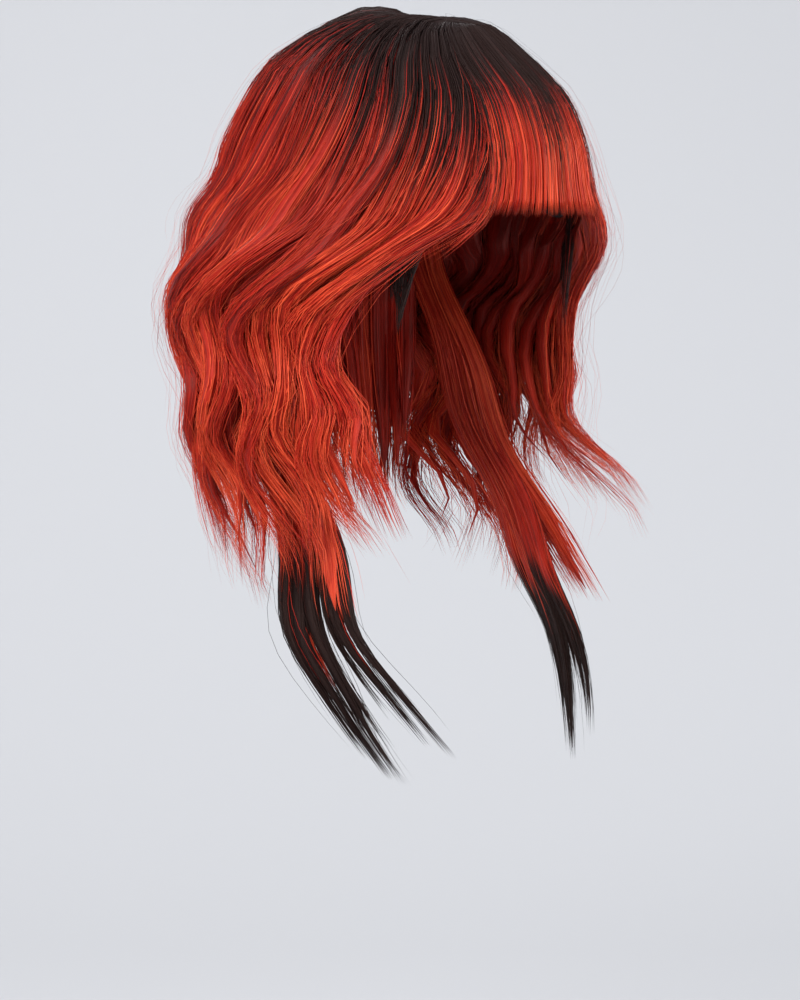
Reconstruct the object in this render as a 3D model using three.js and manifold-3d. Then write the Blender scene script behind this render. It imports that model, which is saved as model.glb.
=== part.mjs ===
// A synthetic wig in the form it keeps when worn: a hollow cap with a scalp strip on top, a straight-cut
// fringe, waved layers that part in the middle and fall from the crown, straight hair at the nape, a wisp
// before each ear and two long tails that come forward over the shoulders.
// Millimetres, +Z up, the face looks along -Y. The origin is the top of the cap's hollow, on the head.

import * as THREE from "three";
import { mergeVertices } from "three/addons/utils/BufferGeometryUtils.js";
import Module from "manifold-3d";

const wasm = await Module();
wasm.setup();

// The head that the cap fits
const headHalfWidth = 76; // ear to ear
const headHalfDepth = 96; // forehead to back
const crownHeight = 98; // from the widest level up to the crown
const napeTaper = 0.3; // how quickly the head draws in below its widest level

// The cap and the scalp strip
const capWall = 1.6;
const capFront = 56; // how far below the crown the cap's edge lies, at the forehead
const capTemple = 108; // at the tab before each ear
const capEar = 92; // above each ear
const capNape = 146; // at the nape
const stripLength = 66;
const stripWidth = 13;
const stripThick = 1.3;
const stripCentre = -8; // its middle lies this far behind the crown, so here a little in front of it

// The hair's outer form
const hairLoft = 12; // height of the hair above the crown
const partHalfGap = 2.4; // bare scalp on each side of the parting's middle line
const partHalfLength = 28;
const hairHalfWidth = 130; // at the fullest level
const hairHalfDepth = 122;
const setBack = 30; // how far behind the head's middle the fullest level is centred
const hangLength = 227; // from the head's widest level down to the red tips
const fringeDrop = 107; // from the crown down to the fringe's cut edge
const lockDepth = 30; // thickness of the waved layer
const fringeDepth = 13;

// Its waves
const waveLength = 79;
const firstCrest = 124; // how far below the crown the first full wave stands out, at the face
const waveStart = 78; // where the waves begin to grow
const waveOut = 4.5;
const waveAside = 6.5;
const waveDrift = 0.77; // how far a wave lags, in waves, from the edge of the face to the back

// The tails, nape hair and wisps
const tailLength = 420; // from the crown down to the black tips
const tailOut = 101; // how far from the middle a tail passes the shoulder
const tailAhead = 60; // how far in front of the crown it ends
const tailDepth = 8;
const tailHalfWidth = 26;
const napeLength = 300;
const napeStand = 9; // how far the nape hair's outer side stands off the head
const napeDepth = 8;
const napeTurn = 17; // degrees between its locks
const wispLength = 172;
const wispHalfWidth = 9;
const wispDepth = 4;

const clearance = 0.35; // between one piece and the next

const turn = THREE.MathUtils.degToRad;
const smooth = THREE.MathUtils.smoothstep;
const mix = THREE.MathUtils.lerp;

// Gives each row of a table its column names.
function named(columns, rows) {
  return rows.map((row) => Object.fromEntries(columns.map((name, i) => [name, row[i]])));
}

// The rows of a table blended by a smooth curve through them; u runs from 0 at the first to 1 at the last.
function rowAt(rows, u) {
  const place = THREE.MathUtils.clamp(u, 0, 1) * (rows.length - 1);
  const k = Math.min(Math.floor(place), rows.length - 2);
  const t = place - k;
  const [p, a, b, n] = [-1, 0, 1, 2].map((i) => rows[THREE.MathUtils.clamp(k + i, 0, rows.length - 1)]);
  const made = {};
  for (const name of Object.keys(a)) {
    const [before, after] = [(b[name] - p[name]) / 2, (n[name] - a[name]) / 2];
    made[name] =
      a[name] * (2 * t ** 3 - 3 * t ** 2 + 1) +
      b[name] * (3 * t ** 2 - 2 * t ** 3) +
      before * (t ** 3 - 2 * t ** 2 + t) +
      after * (t ** 3 - t ** 2);
  }
  return made;
}

// Level curves of the hair's outer form, from the parting down to the red tips.
// lift and tilt are shares of hairLoft, crown of crownHeight, hang of hangLength, width and depth of the
// hair's half sizes, set of setBack and thick of lockDepth. edge is the angle from the front at which the
// hair clears the face, in degrees.
const levels = named(
  ["lift", "tilt", "crown", "hang", "width", "depth", "set", "thick", "edge"],
  [
    [0.3, 0.52, 0, 0, 0, 0, -0.33, 0.45, 30],
    [0.46, 0.55, 0, 0, 0.099, 0.295, -0.1, 0.6, 30],
    [0.36, 0.45, 0, 0, 0.222, 0.361, 0.1, 0.8, 30],
    [0, 0, 0.031, 0, 0.361, 0.484, 0.41, 0.9, 30],
    [0, 0, 0.204, 0, 0.523, 0.672, 0.53, 1, 30],
    [0, 0, 0.408, 0, 0.627, 0.814, 0.42, 1, 29],
    [0, 0, 0.643, 0, 0.685, 0.918, 0.47, 1, 28],
    [0, 0, 0.878, 0, 0.754, 0.954, 0.47, 1, 27],
    [0, 0, 1, 0.035, 0.854, 0.997, 0.63, 1, 28],
    [0, 0, 1, 0.115, 0.931, 0.98, 0.77, 1, 33],
    [0, 0, 1, 0.242, 0.992, 0.954, 0.96, 1, 45],
    [0, 0, 1, 0.37, 0.973, 0.931, 1, 1, 55],
    [0, 0, 1, 0.489, 0.973, 0.917, 0.83, 1, 53],
    [0, 0, 1, 0.599, 0.963, 0.913, 0.73, 0.95, 55],
    [0, 0, 1, 0.736, 0.935, 0.852, 0.47, 0.85, 54],
    [0, 0, 1, 0.868, 0.864, 0.781, 0.33, 0.62, 47],
    [0, 0, 1, 1, 0.738, 0.689, 0.2, 0.4, 45],
  ],
);

// The locks of each waved layer. q is the lock's place between the edge of the face, 0, and the middle of
// the back, 1; reach is the share of the levels that it runs down; proud and flick stand it out, in shares
// of lockDepth, all along and at its tip.
const lockColumns = ["q", "reach", "proud", "flick"];
const frontRight = named(lockColumns, [
  [0.045, 0.9, -0.1, 0.15],
  [0.135, 0.95, 0.06, -0.1],
  [0.225, 0.97, -0.08, 0.1],
  [0.315, 1, 0.08, 0.2],
  [0.405, 0.96, -0.05, 0.1],
]);
const frontLeft = named(lockColumns, [
  [0.045, 0.88, -0.05, 0.75],
  [0.135, 0.93, 0.06, 0.5],
  [0.225, 0.99, -0.06, 0.3],
  [0.315, 0.94, 0.08, 0.05],
  [0.405, 0.98, -0.04, 0.15],
]);
const backRight = named(lockColumns, [
  [0.495, 0.98, 0.08, 0],
  [0.585, 0.93, -0.06, 0.12],
  [0.675, 0.95, 0.06, 0.05],
  [0.765, 0.92, -0.08, 0.1],
  [0.855, 0.96, 0.05, 0],
  [0.945, 0.93, -0.04, 0.08],
]);
const backLeft = named(lockColumns, [
  [0.495, 0.94, 0.05, 0.1],
  [0.585, 0.97, -0.07, 0],
  [0.675, 0.92, 0.08, 0.1],
  [0.765, 0.96, -0.05, 0],
  [0.855, 0.92, 0.06, 0.1],
  [0.945, 0.95, -0.06, 0],
]);

// The locks of the nape hair, by their turn from the front in degrees.
const napeLocks = named(
  ["azimuth", "reach"],
  [
    [180 - 2.5 * napeTurn, 0.9],
    [180 - 1.5 * napeTurn, 0.98],
    [180 - 0.5 * napeTurn, 0.94],
    [180 + 0.5 * napeTurn, 1],
    [180 + 1.5 * napeTurn, 0.95],
    [180 + 2.5 * napeTurn, 0.91],
  ],
);

// The course of a tail. fall is a share of tailLength, out of tailOut, ahead of tailAhead and spread of
// tailHalfWidth; facing is how far its outer side turns to the front, in degrees.
const tailCourse = named(
  ["fall", "out", "ahead", "spread", "facing"],
  [
    [0.278, 0.635, -1.08, 0.38, -44],
    [0.354, 0.68, -0.95, 0.42, -38],
    [0.446, 0.73, -0.73, 0.48, -28],
    [0.539, 0.81, -0.5, 0.6, -14],
    [0.631, 0.87, -0.22, 0.72, -2],
    [0.723, 0.91, 0.05, 0.84, 8],
    [0.815, 0.935, 0.32, 0.93, 14],
    [0.908, 0.82, 0.64, 1, 20],
    [1, 0.625, 1, 1, 28],
  ],
);

// Its locks: aside is their place across the tail, from -1 in front to 1, and reach the share of its course.
const tailLocks = named(
  ["aside", "reach"],
  [
    [-0.95, 0.95],
    [-0.5, 0.92],
    [-0.08, 0.96],
    [0.35, 1],
    [0.8, 0.93],
  ],
);

// A point `grow` outside the cap's hollow, at an azimuth from the front, in radians, and a drop below the
// crown. The wearer's right side, at -X, has the positive azimuths.
function onHead(azimuth, drop, grow) {
  const above = (crownHeight - drop) / crownHeight;
  const share = above > 0 ? Math.sqrt(1 - above * above) : 1 - napeTaper * above * above;
  return new THREE.Vector3(
    -(headHalfWidth + grow) * share * Math.sin(azimuth),
    -(headHalfDepth + grow) * share * Math.cos(azimuth),
    above > 0 ? (crownHeight + grow) * above - crownHeight : -drop,
  );
}

// A closed solid from rings of points that run round its way, with both ends closed by a fan. A side of -1
// puts it on the wearer's left.
function swept(rings, side = 1) {
  const count = rings[0].length;
  const last = rings.length - 1;
  const points = rings.flat();
  const faces = [];
  for (let i = 0; i < last; i++)
    for (let j = 0; j < count; j++) {
      const [a, b] = [i * count + j, i * count + ((j + 1) % count)];
      faces.push([a, b, b + count], [a, b + count, a + count]);
    }
  for (const i of [0, last]) {
    const middle = new THREE.Vector3();
    rings[i].forEach((p) => middle.addScaledVector(p, 1 / count));
    points.push(middle);
    for (let j = 0; j < count; j++) {
      const [a, b] = [i * count + j, i * count + ((j + 1) % count)];
      faces.push(i ? [points.length - 1, a, b] : [points.length - 1, b, a]);
    }
  }
  const geometry = new THREE.BufferGeometry().setFromPoints(points).setIndex(faces.flat());
  return solid(mergeVertices(geometry.scale(side, 1, 1), 1e-3));
}

// A geometry as a solid that can be cut and joined, with its faces turned outward.
function solid(geometry) {
  const faces = [];
  for (let i = 0; i < geometry.index.count; i += 3) {
    const face = [0, 1, 2].map((k) => geometry.index.array[i + k]);
    if (new Set(face).size === 3) faces.push(face);
  }
  const made = (list) =>
    new wasm.Manifold(
      new wasm.Mesh({
        numProp: 3,
        vertProperties: new Float32Array(geometry.attributes.position.array),
        triVerts: new Uint32Array(list.flat()),
      }),
    );
  const first = made(faces);
  return first.volume() > 0 ? first : made(faces.map(([a, b, c]) => [a, c, b]));
}

function joined(solids) {
  return solids.reduce((sum, next) => sum.add(next));
}

// What is left of a solid once its neighbours are cut away, without the crumbs of a cut.
function without(made, ...cutters) {
  const parts = made.subtract(joined(cutters)).decompose();
  return parts.reduce((largest, part) => (part.volume() > largest.volume() ? part : largest));
}

// The cap: a wall of even thickness from the crown to its edge.
const capAround = 24;
const capRings = 7;
const capEdge = named(
  ["azimuth", "drop"],
  [
    [0, capFront],
    [30, mix(capFront, capTemple, 0.22)],
    [62, capTemple],
    [90, capEar],
    [120, mix(capEar, capNape, 0.45)],
    [150, mix(capEar, capNape, 0.93)],
    [180, capNape],
  ],
);

// How far below the crown the cap's edge lies at an azimuth, in radians.
function edgeDrop(azimuth) {
  const degrees = Math.abs(THREE.MathUtils.radToDeg(azimuth));
  const k = Math.max(1, capEdge.findIndex((row) => row.azimuth >= degrees - 1e-6));
  const [from, to] = [capEdge[k - 1], capEdge[k]];
  return mix(from.drop, to.drop, smooth(degrees, from.azimuth, to.azimuth));
}

// The turn from the crown, down a head of round section, to a drop below the crown, and back.
const turnAt = (drop) =>
  drop < crownHeight ? Math.acos(1 - drop / crownHeight) : Math.PI / 2 + (drop - crownHeight) / crownHeight;
const dropAt = (angle) =>
  angle < Math.PI / 2 ? crownHeight * (1 - Math.cos(angle)) : crownHeight * (1 + angle - Math.PI / 2);

// A dome `grow` outside the hollow, as rings from the crown down to the cap's edge.
function dome(grow) {
  return Array.from({ length: capRings + 1 }, (_, i) =>
    Array.from({ length: capAround }, (_, j) => {
      const azimuth = (j / capAround) * 2 * Math.PI;
      const edge = edgeDrop(azimuth > Math.PI ? 2 * Math.PI - azimuth : azimuth);
      return onHead(azimuth, dropAt((turnAt(edge) * i) / capRings), grow);
    }),
  );
}

const cap = swept([...dome(capWall), ...dome(0).reverse()]);

// The room that the cap and the head take, with a clearance: hair is cut back to it.
function capRoom() {
  const rings = dome(capWall + clearance);
  const nape = capNape + capWall + clearance;
  for (const share of [0.5, 1])
    rings.push(
      rings[capRings].map((p, j) => {
        const drop = mix(-p.z, nape, share);
        return onHead((j / capAround) * 2 * Math.PI, drop, capWall + clearance);
      }),
    );
  return swept(rings);
}

// The scalp strip: a band that follows the cap under the parting.
function scalpStrip(grow) {
  const steps = 7;
  const half = stripWidth / 2 + grow;
  const low = capWall + clearance - grow;
  const high = capWall + clearance + stripThick + grow;
  const over = (x, y, height) => {
    const share = 1 - (x / (headHalfWidth + height)) ** 2 - (y / (headHalfDepth + height)) ** 2;
    return new THREE.Vector3(x, y, (crownHeight + height) * Math.sqrt(share) - crownHeight);
  };
  return swept(
    Array.from({ length: steps + 1 }, (_, i) => {
      const y = stripCentre + (stripLength / 2 + grow) * (1 - (2 * i) / steps);
      return [over(-half, y, low), over(0, y, low), over(half, y, low), over(half, y, high),
        over(0, y, high), over(-half, y, high)];
    }),
  );
}

// The hair's outer form: q runs from -1 at the middle of the fringe, by 0 at the edge of the face, to 1 at
// the middle of the back, and u from 0 at the parting to 1 at the red tips.
function form(q, u) {
  const row = rowAt(levels, u);
  const edge = turn(row.edge);
  const azimuth = q < 0 ? edge * (1 + q) : mix(edge, Math.PI, q);
  const parting = Math.max(0, 1 - u * (levels.length - 1));
  const halfWidth = partHalfGap * parting + hairHalfWidth * row.width;
  const halfDepth = partHalfLength * parting + hairHalfDepth * row.depth;
  const ahead = Math.cos(azimuth);
  const rise = row.lift - row.tilt * ahead * Math.abs(ahead);
  return new THREE.Vector3(
    -halfWidth * Math.sin(azimuth),
    setBack * row.set - halfDepth * ahead,
    hairLoft * rise - crownHeight * row.crown - hangLength * row.hang,
  );
}

// The axes of the hair at a place on its form: outward, and aside, towards the back. At the crown the
// outward axis is the head's own.
function axesAt(q, u) {
  const step = 0.008;
  const at = form(q, u);
  const aside = form(q + step, u).sub(form(q - step, u)).normalize();
  const down = form(q, u + step).sub(form(q, u - step));
  const head = new THREE.Vector3(at.x / headHalfWidth ** 2, at.y / headHalfDepth ** 2, 1 / crownHeight);
  const out = new THREE.Vector3().crossVectors(aside, down).normalize();
  return { aside, out: head.normalize().lerp(out, smooth(u, 0.1, 0.3)).normalize() };
}

// The wave at a place on the form: out of it and aside, in millimetres.
function waveAt(q, drop) {
  const grown = smooth(drop, waveStart, waveStart + waveLength);
  const phase = 2 * Math.PI * ((drop - firstCrest) / waveLength - waveDrift * q);
  return {
    out: waveOut * grown * Math.cos(phase),
    aside: waveAside * grown * mix(0.35, 1, smooth(q, 0, 0.25)) * Math.sin(phase),
  };
}

// A point in the waved hair, `deep` below its outer form.
function inHair(q, u, deep) {
  const { out, aside } = axesAt(q, u);
  const at = form(q, u);
  const wave = waveAt(Math.max(q, 0), -at.z);
  at.addScaledVector(out, wave.out - deep).addScaledVector(aside, q > 0 ? wave.aside : 0);
  if (q > 0) at.x = Math.min(at.x, -clearance / 2);
  return at;
}

// A lock's section has its corners at these turns: four on its outer side and one within.
const corners = [0, 60, 120, 180, 270].map(turn);
const section = (point) => corners.map((angle) => point(Math.cos(angle), Math.sin(angle)));

// The levels at which every lock has a section, down to its reach: closer together where it waves.
const crownSteps = 4;
const waveSteps = 12;
const crownShare = 6 / 16; // share of the levels that the crown's steps cover
const placesTo = (reach) =>
  Array.from({ length: crownSteps + waveSteps + 1 }, (_, i) =>
    i < crownSteps ? (crownShare * i) / crownSteps : mix(crownShare, 1, (i - crownSteps) / waveSteps),
  )
    .filter((u) => u < reach - 0.02)
    .concat(reach);

// A waved lock from the parting to its tip, which narrows over its last stretch. The first and the last lock
// of a piece keep clear of the next piece on that side.
const tipShare = 0.3; // share of a lock's hang over which it narrows
const lockSpan = 0.045; // half the share of q that a lock takes
const overlap = 1.2; // how far neighbouring locks run into each other
const edgeThin = 0.5; // how thick the hair is at the edge of the face, as a share

function wavedLock({ q, reach, proud, flick }, place, table, side) {
  return swept(
    placesTo(reach).map((u) => {
      const tip = smooth(u, mix(reach, crownShare, tipShare), reach);
      const stand = lockDepth * (proud * smooth(u, 0.15, 0.5) + flick * tip * tip);
      const thick = rowAt(levels, u).thick * mix(edgeThin, 1, smooth(q, 0.05, 0.3));
      const deep = lockDepth * thick * (1 - 0.8 * tip);
      const gap = clearance / 2 / form(q - 0.5 * lockSpan, u).distanceTo(form(q + 0.5 * lockSpan, u));
      return section((across, up) => {
        const edge = across < 0 ? place === 0 : place === table.length - 1;
        const span = lockSpan * (edge ? 1 - gap : overlap) * (1 - 0.75 * tip);
        return inHair(q + span * across, u, (deep / 2) * (1 - up) - stand);
      });
    }),
    side,
  );
}

// A lock of the fringe, cut off straight at the fringe's edge. q is its place, from -1 to 0.
const fringeSpan = 1 / 6; // half the share of q that a lock takes
const fringeOverlap = 1.7; // how far its locks run into each other above the cut edge

function fringeLock(q, side) {
  const edgeLevel = fringeLevel();
  return swept(
    placesTo(edgeLevel).slice(1).map((u) => {
      const cut = smooth(u, 0.6 * edgeLevel, edgeLevel);
      const deep = mix(lockDepth * levels[0].thick, fringeDepth, smooth(u, 0, edgeLevel));
      const gap = clearance / 2 / form(q - 0.5 * fringeSpan, u).distanceTo(form(q + 0.5 * fringeSpan, u));
      return section((across, up) => {
        const edge = across > 0 && q + fringeSpan > -0.01;
        const span = fringeSpan * (edge ? 1 - gap : mix(fringeOverlap, overlap, cut));
        return inHair(q + span * across, u, (deep / 2) * (1 - up));
      });
    }),
    side,
  );
}

// The share of the levels at which the fringe is cut.
function fringeLevel() {
  let [low, high] = [0, 1];
  for (let i = 0; i < 30; i++) {
    const middle = (low + high) / 2;
    if (-form(-1, middle).z < fringeDrop) low = middle;
    else high = middle;
  }
  return low;
}

// A straight lock along a course of points, each with its outward direction and half width.
function straightLock(course, deep, side, grow = 0) {
  return swept(
    course.map(({ at, out, half }, i) => {
      const way = course[Math.min(i + 1, course.length - 1)].at.clone().sub(course[Math.max(i - 1, 0)].at);
      const aside = new THREE.Vector3().crossVectors(way, out).normalize();
      const tip = smooth(i / (course.length - 1), 0.6, 1);
      return section((across, up) =>
        at
          .clone()
          .addScaledVector(aside, half * across * (1 - 0.85 * tip) + grow * across)
          .addScaledVector(out, (deep / 2) * (up - 1) * (1 - 0.8 * tip) + grow * up),
      );
    }),
    side,
  );
}

// A lock of a tail: from the cap's side at the nape, forward over the shoulder.
function tailLock({ aside, reach }, side) {
  const steps = 8;
  const share = (tailHalfWidth / (tailLocks.length - 1)) * overlap;
  const course = Array.from({ length: steps + 1 }, (_, i) => {
    const row = rowAt(tailCourse, (reach * i) / steps);
    const centre = new THREE.Vector3(-tailOut * row.out, -tailAhead * row.ahead, -tailLength * row.fall);
    const out = new THREE.Vector3(-Math.cos(turn(row.facing)), -Math.sin(turn(row.facing)), 0);
    const across = new THREE.Vector3(out.y, -out.x, 0).multiplyScalar(tailHalfWidth * row.spread * aside);
    return { at: centre.add(across), out, half: share * row.spread };
  });
  return straightLock(course, tailDepth, side);
}

// A lock of the nape hair, hanging from the cap's lower edge behind the neck.
function napeLock({ azimuth, reach }) {
  const steps = 6;
  const half = (headHalfWidth * turn(napeTurn) * overlap ** 2) / 2;
  const course = Array.from({ length: steps + 1 }, (_, i) => {
    const drop = mix(capNape * 0.82, napeLength * reach, i / steps);
    const at = onHead(turn(azimuth), Math.min(drop, capNape), napeStand * (1 - 2.2 * smooth(i, 2, steps)));
    at.z = -drop;
    return { at, out: new THREE.Vector3(at.x, at.y, 0).normalize(), half };
  });
  return straightLock(course, napeDepth);
}

// The wisp before an ear.
function wisp(side, grow) {
  const steps = 6;
  const course = Array.from({ length: steps + 1 }, (_, i) => {
    const drop = mix(capTemple * 0.86, wispLength, i / steps);
    const at = onHead(turn(mix(57, 61, i / steps)), Math.min(drop, capTemple), capWall + wispDepth);
    at.z = -drop;
    return { at, out: new THREE.Vector3(at.x, at.y, 0).normalize(), half: wispHalfWidth };
  });
  return straightLock(course, wispDepth + 2, side, grow);
}

const looks = {
  cap: { color: 0x241c1c, roughness: 0.9, metalness: 0 },
  scalp: { color: 0x2e2727, roughness: 0.8, metalness: 0 },
  red: { color: 0xc8281c, roughness: 0.45, metalness: 0 },
  black: { color: 0x1c1618, roughness: 0.5, metalness: 0 },
};

function piece(name, made, look) {
  const { vertProperties, triVerts } = made.getMesh();
  const geometry = new THREE.BufferGeometry()
    .setAttribute("position", new THREE.BufferAttribute(new Float32Array(vertProperties), 3))
    .setIndex(new THREE.BufferAttribute(new Uint32Array(triVerts), 1));
  geometry.computeVertexNormals();
  const mesh = new THREE.Mesh(geometry, new THREE.MeshStandardMaterial(looks[look]));
  mesh.name = name;
  return mesh;
}

const head = capRoom();
const stripRoom = scalpStrip(clearance);
const fringe = joined([-5 / 6, -1 / 2, -1 / 6].flatMap((q) => [fringeLock(q, 1), fringeLock(q, -1)]));
const wispRoom = (side) => wisp(side, 2 * clearance);
const locks = (table, side) => joined(table.map((row, i) => wavedLock(row, i, table, side)));
const waves = (table, side) => without(locks(table, side), head, stripRoom, wispRoom(side));
const tail = (side) => without(joined(tailLocks.map((row) => tailLock(row, side))), head);

const wig = new THREE.Group();
wig.add(
  piece("wig_cap", cap, "cap"),
  piece("scalp_strip", scalpStrip(0), "scalp"),
  piece("bangs", without(fringe, head, stripRoom), "red"),
  piece("front_waves_right", waves(frontRight, 1), "red"),
  piece("front_waves_left", waves(frontLeft, -1), "red"),
  piece("back_waves_right", waves(backRight, 1), "red"),
  piece("back_waves_left", waves(backLeft, -1), "red"),
  piece("nape_hair", without(joined(napeLocks.map(napeLock)), head), "black"),
  piece("tail_right", tail(1), "black"),
  piece("tail_left", tail(-1), "black"),
  piece("wisp_right", without(wisp(1, 0), head), "black"),
  piece("wisp_left", without(wisp(-1, 0), head), "black"),
);

export default wig;
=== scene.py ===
import bpy
import numpy as np
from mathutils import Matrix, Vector


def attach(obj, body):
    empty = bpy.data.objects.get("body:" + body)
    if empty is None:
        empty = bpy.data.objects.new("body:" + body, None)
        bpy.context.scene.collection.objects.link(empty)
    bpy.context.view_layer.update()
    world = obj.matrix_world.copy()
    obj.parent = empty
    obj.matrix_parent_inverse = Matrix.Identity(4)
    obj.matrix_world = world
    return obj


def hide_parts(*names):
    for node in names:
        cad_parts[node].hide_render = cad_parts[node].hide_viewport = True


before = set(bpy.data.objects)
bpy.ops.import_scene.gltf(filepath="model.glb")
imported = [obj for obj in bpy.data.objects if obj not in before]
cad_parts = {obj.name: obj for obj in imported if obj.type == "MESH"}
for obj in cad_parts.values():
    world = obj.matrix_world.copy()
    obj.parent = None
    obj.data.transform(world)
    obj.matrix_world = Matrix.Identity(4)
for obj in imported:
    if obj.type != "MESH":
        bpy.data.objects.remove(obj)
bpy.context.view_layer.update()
mm = 0.001  # shapes are worked out in millimetres, as in the part's source

# The hollow in the cap. Hair comes free of it over a stretch below the nape
head = {"halfWidth": 76, "halfDepth": 96, "crown": 98, "taper": 0.3, "nape": 146, "freeOver": 25}

hair = {
    "loft": 12, "partHalfGap": 2.4, "partHalfLength": 28,
    "halfWidth": 130, "halfDepth": 122, "setBack": 30, "hang": 227,
    "lockDepth": 30, "fringeDrop": 107,
    "broad": 136, "drawIn": 0.6,  # what flicks out further than broad is drawn in
    "offHead": 3.6,  # nothing of it comes nearer to the hollow than this, so cap and strip are clear
    "offMiddle": 0.25,  # each side's waves keep this far from the middle
}

waves = {
    "length": 79, "firstCrest": 124, "start": 60,
    "out": 3.4, "aside": 6.8, "asideAtFace": 0.35, "drift": 0.77,
}

# How strands run aslant on the form: back from the parting to the sides, and back again below the fringe
slant = {
    "by": 0.14, "over": (0.14, 0.58), "ahead": 0.15,
    "edgeBy": 0.035, "edgeIn": (0.5, 0.58), "edgeOut": (0.68, 0.78), "edgeWide": 0.14,
    "partingIn": 1.5,
}

# Level curves of the hair's outer form, from the parting to the red tips: lift and tilt as shares of the
# loft, crown, hang, width and depth of the sizes above, set of setBack, thick of lockDepth, edge in degrees
levels = np.array([
    [0.3, 0.52, 0, 0, 0, 0, -0.33, 0.45, 30],
    [0.46, 0.55, 0, 0, 0.099, 0.295, -0.1, 0.6, 30],
    [0.36, 0.45, 0, 0, 0.222, 0.361, 0.1, 0.8, 30],
    [0, 0, 0.031, 0, 0.361, 0.484, 0.41, 0.9, 30],
    [0, 0, 0.204, 0, 0.523, 0.672, 0.53, 1, 30],
    [0, 0, 0.408, 0, 0.627, 0.814, 0.42, 1, 29],
    [0, 0, 0.643, 0, 0.685, 0.918, 0.47, 1, 28],
    [0, 0, 0.878, 0, 0.754, 0.954, 0.47, 1, 27],
    [0, 0, 1, 0.035, 0.854, 0.997, 0.63, 1, 28],
    [0, 0, 1, 0.115, 0.931, 0.98, 0.77, 1, 33],
    [0, 0, 1, 0.242, 0.992, 0.954, 0.96, 1, 45],
    [0, 0, 1, 0.37, 0.973, 0.931, 1, 1, 55],
    [0, 0, 1, 0.489, 0.973, 0.917, 0.83, 1, 53],
    [0, 0, 1, 0.599, 0.963, 0.913, 0.73, 0.95, 55],
    [0, 0, 1, 0.736, 0.935, 0.852, 0.47, 0.85, 54],
    [0, 0, 1, 0.868, 0.864, 0.781, 0.33, 0.62, 47],
    [0, 0, 1, 1, 0.738, 0.689, 0.2, 0.4, 45],
])


# A share of the way from a to b
def mix(a, b, share):
    return a + (b - a) * share


# 0 below low and 1 above high, with a soft S between
def smooth(x, low, high):
    t = np.clip((x - low) / (high - low), 0, 1)
    return t * t * (3 - 2 * t)


# Vectors brought to length one
def unit(v):
    return v / np.maximum(np.linalg.norm(v, axis=-1, keepdims=True), 1e-9)


# Arrays side by side as the coordinates of points
def columns(*parts):
    return np.stack(np.broadcast_arrays(*parts), -1)


# Turns right into left for side -1
def mirror(side):
    return np.array([side, 1, 1])


# A smooth curve through the rows of a table: each stretch is a cubic with the slopes of its neighbours
def blendRows(rows, u):
    place = np.clip(u, 0, 1) * (len(rows) - 1)
    k = np.minimum(place.astype(int), len(rows) - 2)
    t = (place - k)[..., None]
    p, a, b, n = (rows[np.clip(k + i, 0, len(rows) - 1)] for i in (-1, 0, 1, 2))
    return (a * (2 * t**3 - 3 * t**2 + 1) + b * (3 * t**2 - 2 * t**3)
            + (b - p) / 2 * (t**3 - 2 * t**2 + t) + (n - a) / 2 * (t**3 - t**2))


# The outer form of the hair: at each level u an ellipse, set back and tilted, that q runs round from -1
# at the middle of the fringe by 0 at its outer end to 1 at the middle of the back
def formAt(q, u):
    lift, tilt, crown, hang, width, depth, back, _, edge = np.moveaxis(blendRows(levels, u), -1, 0)
    edge = np.radians(edge)
    azimuth = np.where(q < 0, edge * (1 + q), mix(edge, np.pi, q))
    parting = np.maximum(0, 1 - u * (len(levels) - 1))
    ahead = np.cos(azimuth)
    return columns(
        -(hair["partHalfGap"] * parting + hair["halfWidth"] * width) * np.sin(azimuth),
        hair["setBack"] * back - (hair["partHalfLength"] * parting + hair["halfDepth"] * depth) * ahead,
        hair["loft"] * (lift - tilt * ahead * np.abs(ahead)) - head["crown"] * crown - hair["hang"] * hang,
    )


# The hair's thickness at q and u as a share of lockDepth, less beside the front opening
def thickAt(q, u):
    return blendRows(levels, u)[..., 7] * mix(0.5, 1, smooth(q, 0.02, 0.25))


# The form's axes: aside is its slope along q, and out is square to that and to its slope along u. Near
# the crown out is the hollow's own
def axesAt(q, u):
    step = 0.008
    at = formAt(q, u)
    aside = unit(formAt(q + step, u) - formAt(q - step, u))
    down = formAt(q, u + step) - formAt(q, u - step)
    above = unit(columns(at[..., 0] / head["halfWidth"]**2, at[..., 1] / head["halfDepth"]**2,
                         1 / head["crown"]))
    out = mix(above, unit(np.cross(aside, down)), smooth(u, 0.1, 0.3)[..., None])
    return at, aside, unit(out)


# Pushes points that come nearer to the hollow than a gap straight out from its middle: above its widest
# level it is an ellipsoid, below that an ellipse that draws in with the square of the drop
def clearOfHead(points, gap):
    x, y, z = np.moveaxis(points, -1, 0)
    crown, nape = head["crown"], head["nape"]
    above = (z + crown) / (crown + gap)
    flat = (x / (head["halfWidth"] + gap))**2 + (y / (head["halfDepth"] + gap))**2
    share = 1 - head["taper"] * ((z + crown) / crown)**2
    side = np.sqrt(flat) / np.maximum(share, 0.2)
    push = np.where(above > 0, 1 / np.clip(np.sqrt(flat + above**2), 0.05, 1), 1 / np.clip(side, 0.3, 1))
    push = np.where(-z > nape, mix(push, 1, smooth(-z, nape, nape + head["freeOver"])), push)
    return columns(x * push, y * push, (z + crown) * np.where(above > 0, push, 1) - crown)


# Where a strand that ends at q lies at level u: nearer to the fringe at the parting, less so towards the
# middles of front and back, and set back a little where the front opens
def slanted(q, u):
    share = np.sin(np.pi * np.clip((q + slant["ahead"]) / (1 + slant["ahead"]), 0, 1))
    edge = (smooth(u, *slant["edgeIn"]) * (1 - smooth(u, *slant["edgeOut"]))
            * (1 - smooth(q, 0, slant["edgeWide"])))
    return q - slant["by"] * share * (1 - smooth(u, *slant["over"])) + slant["edgeBy"] * edge


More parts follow.
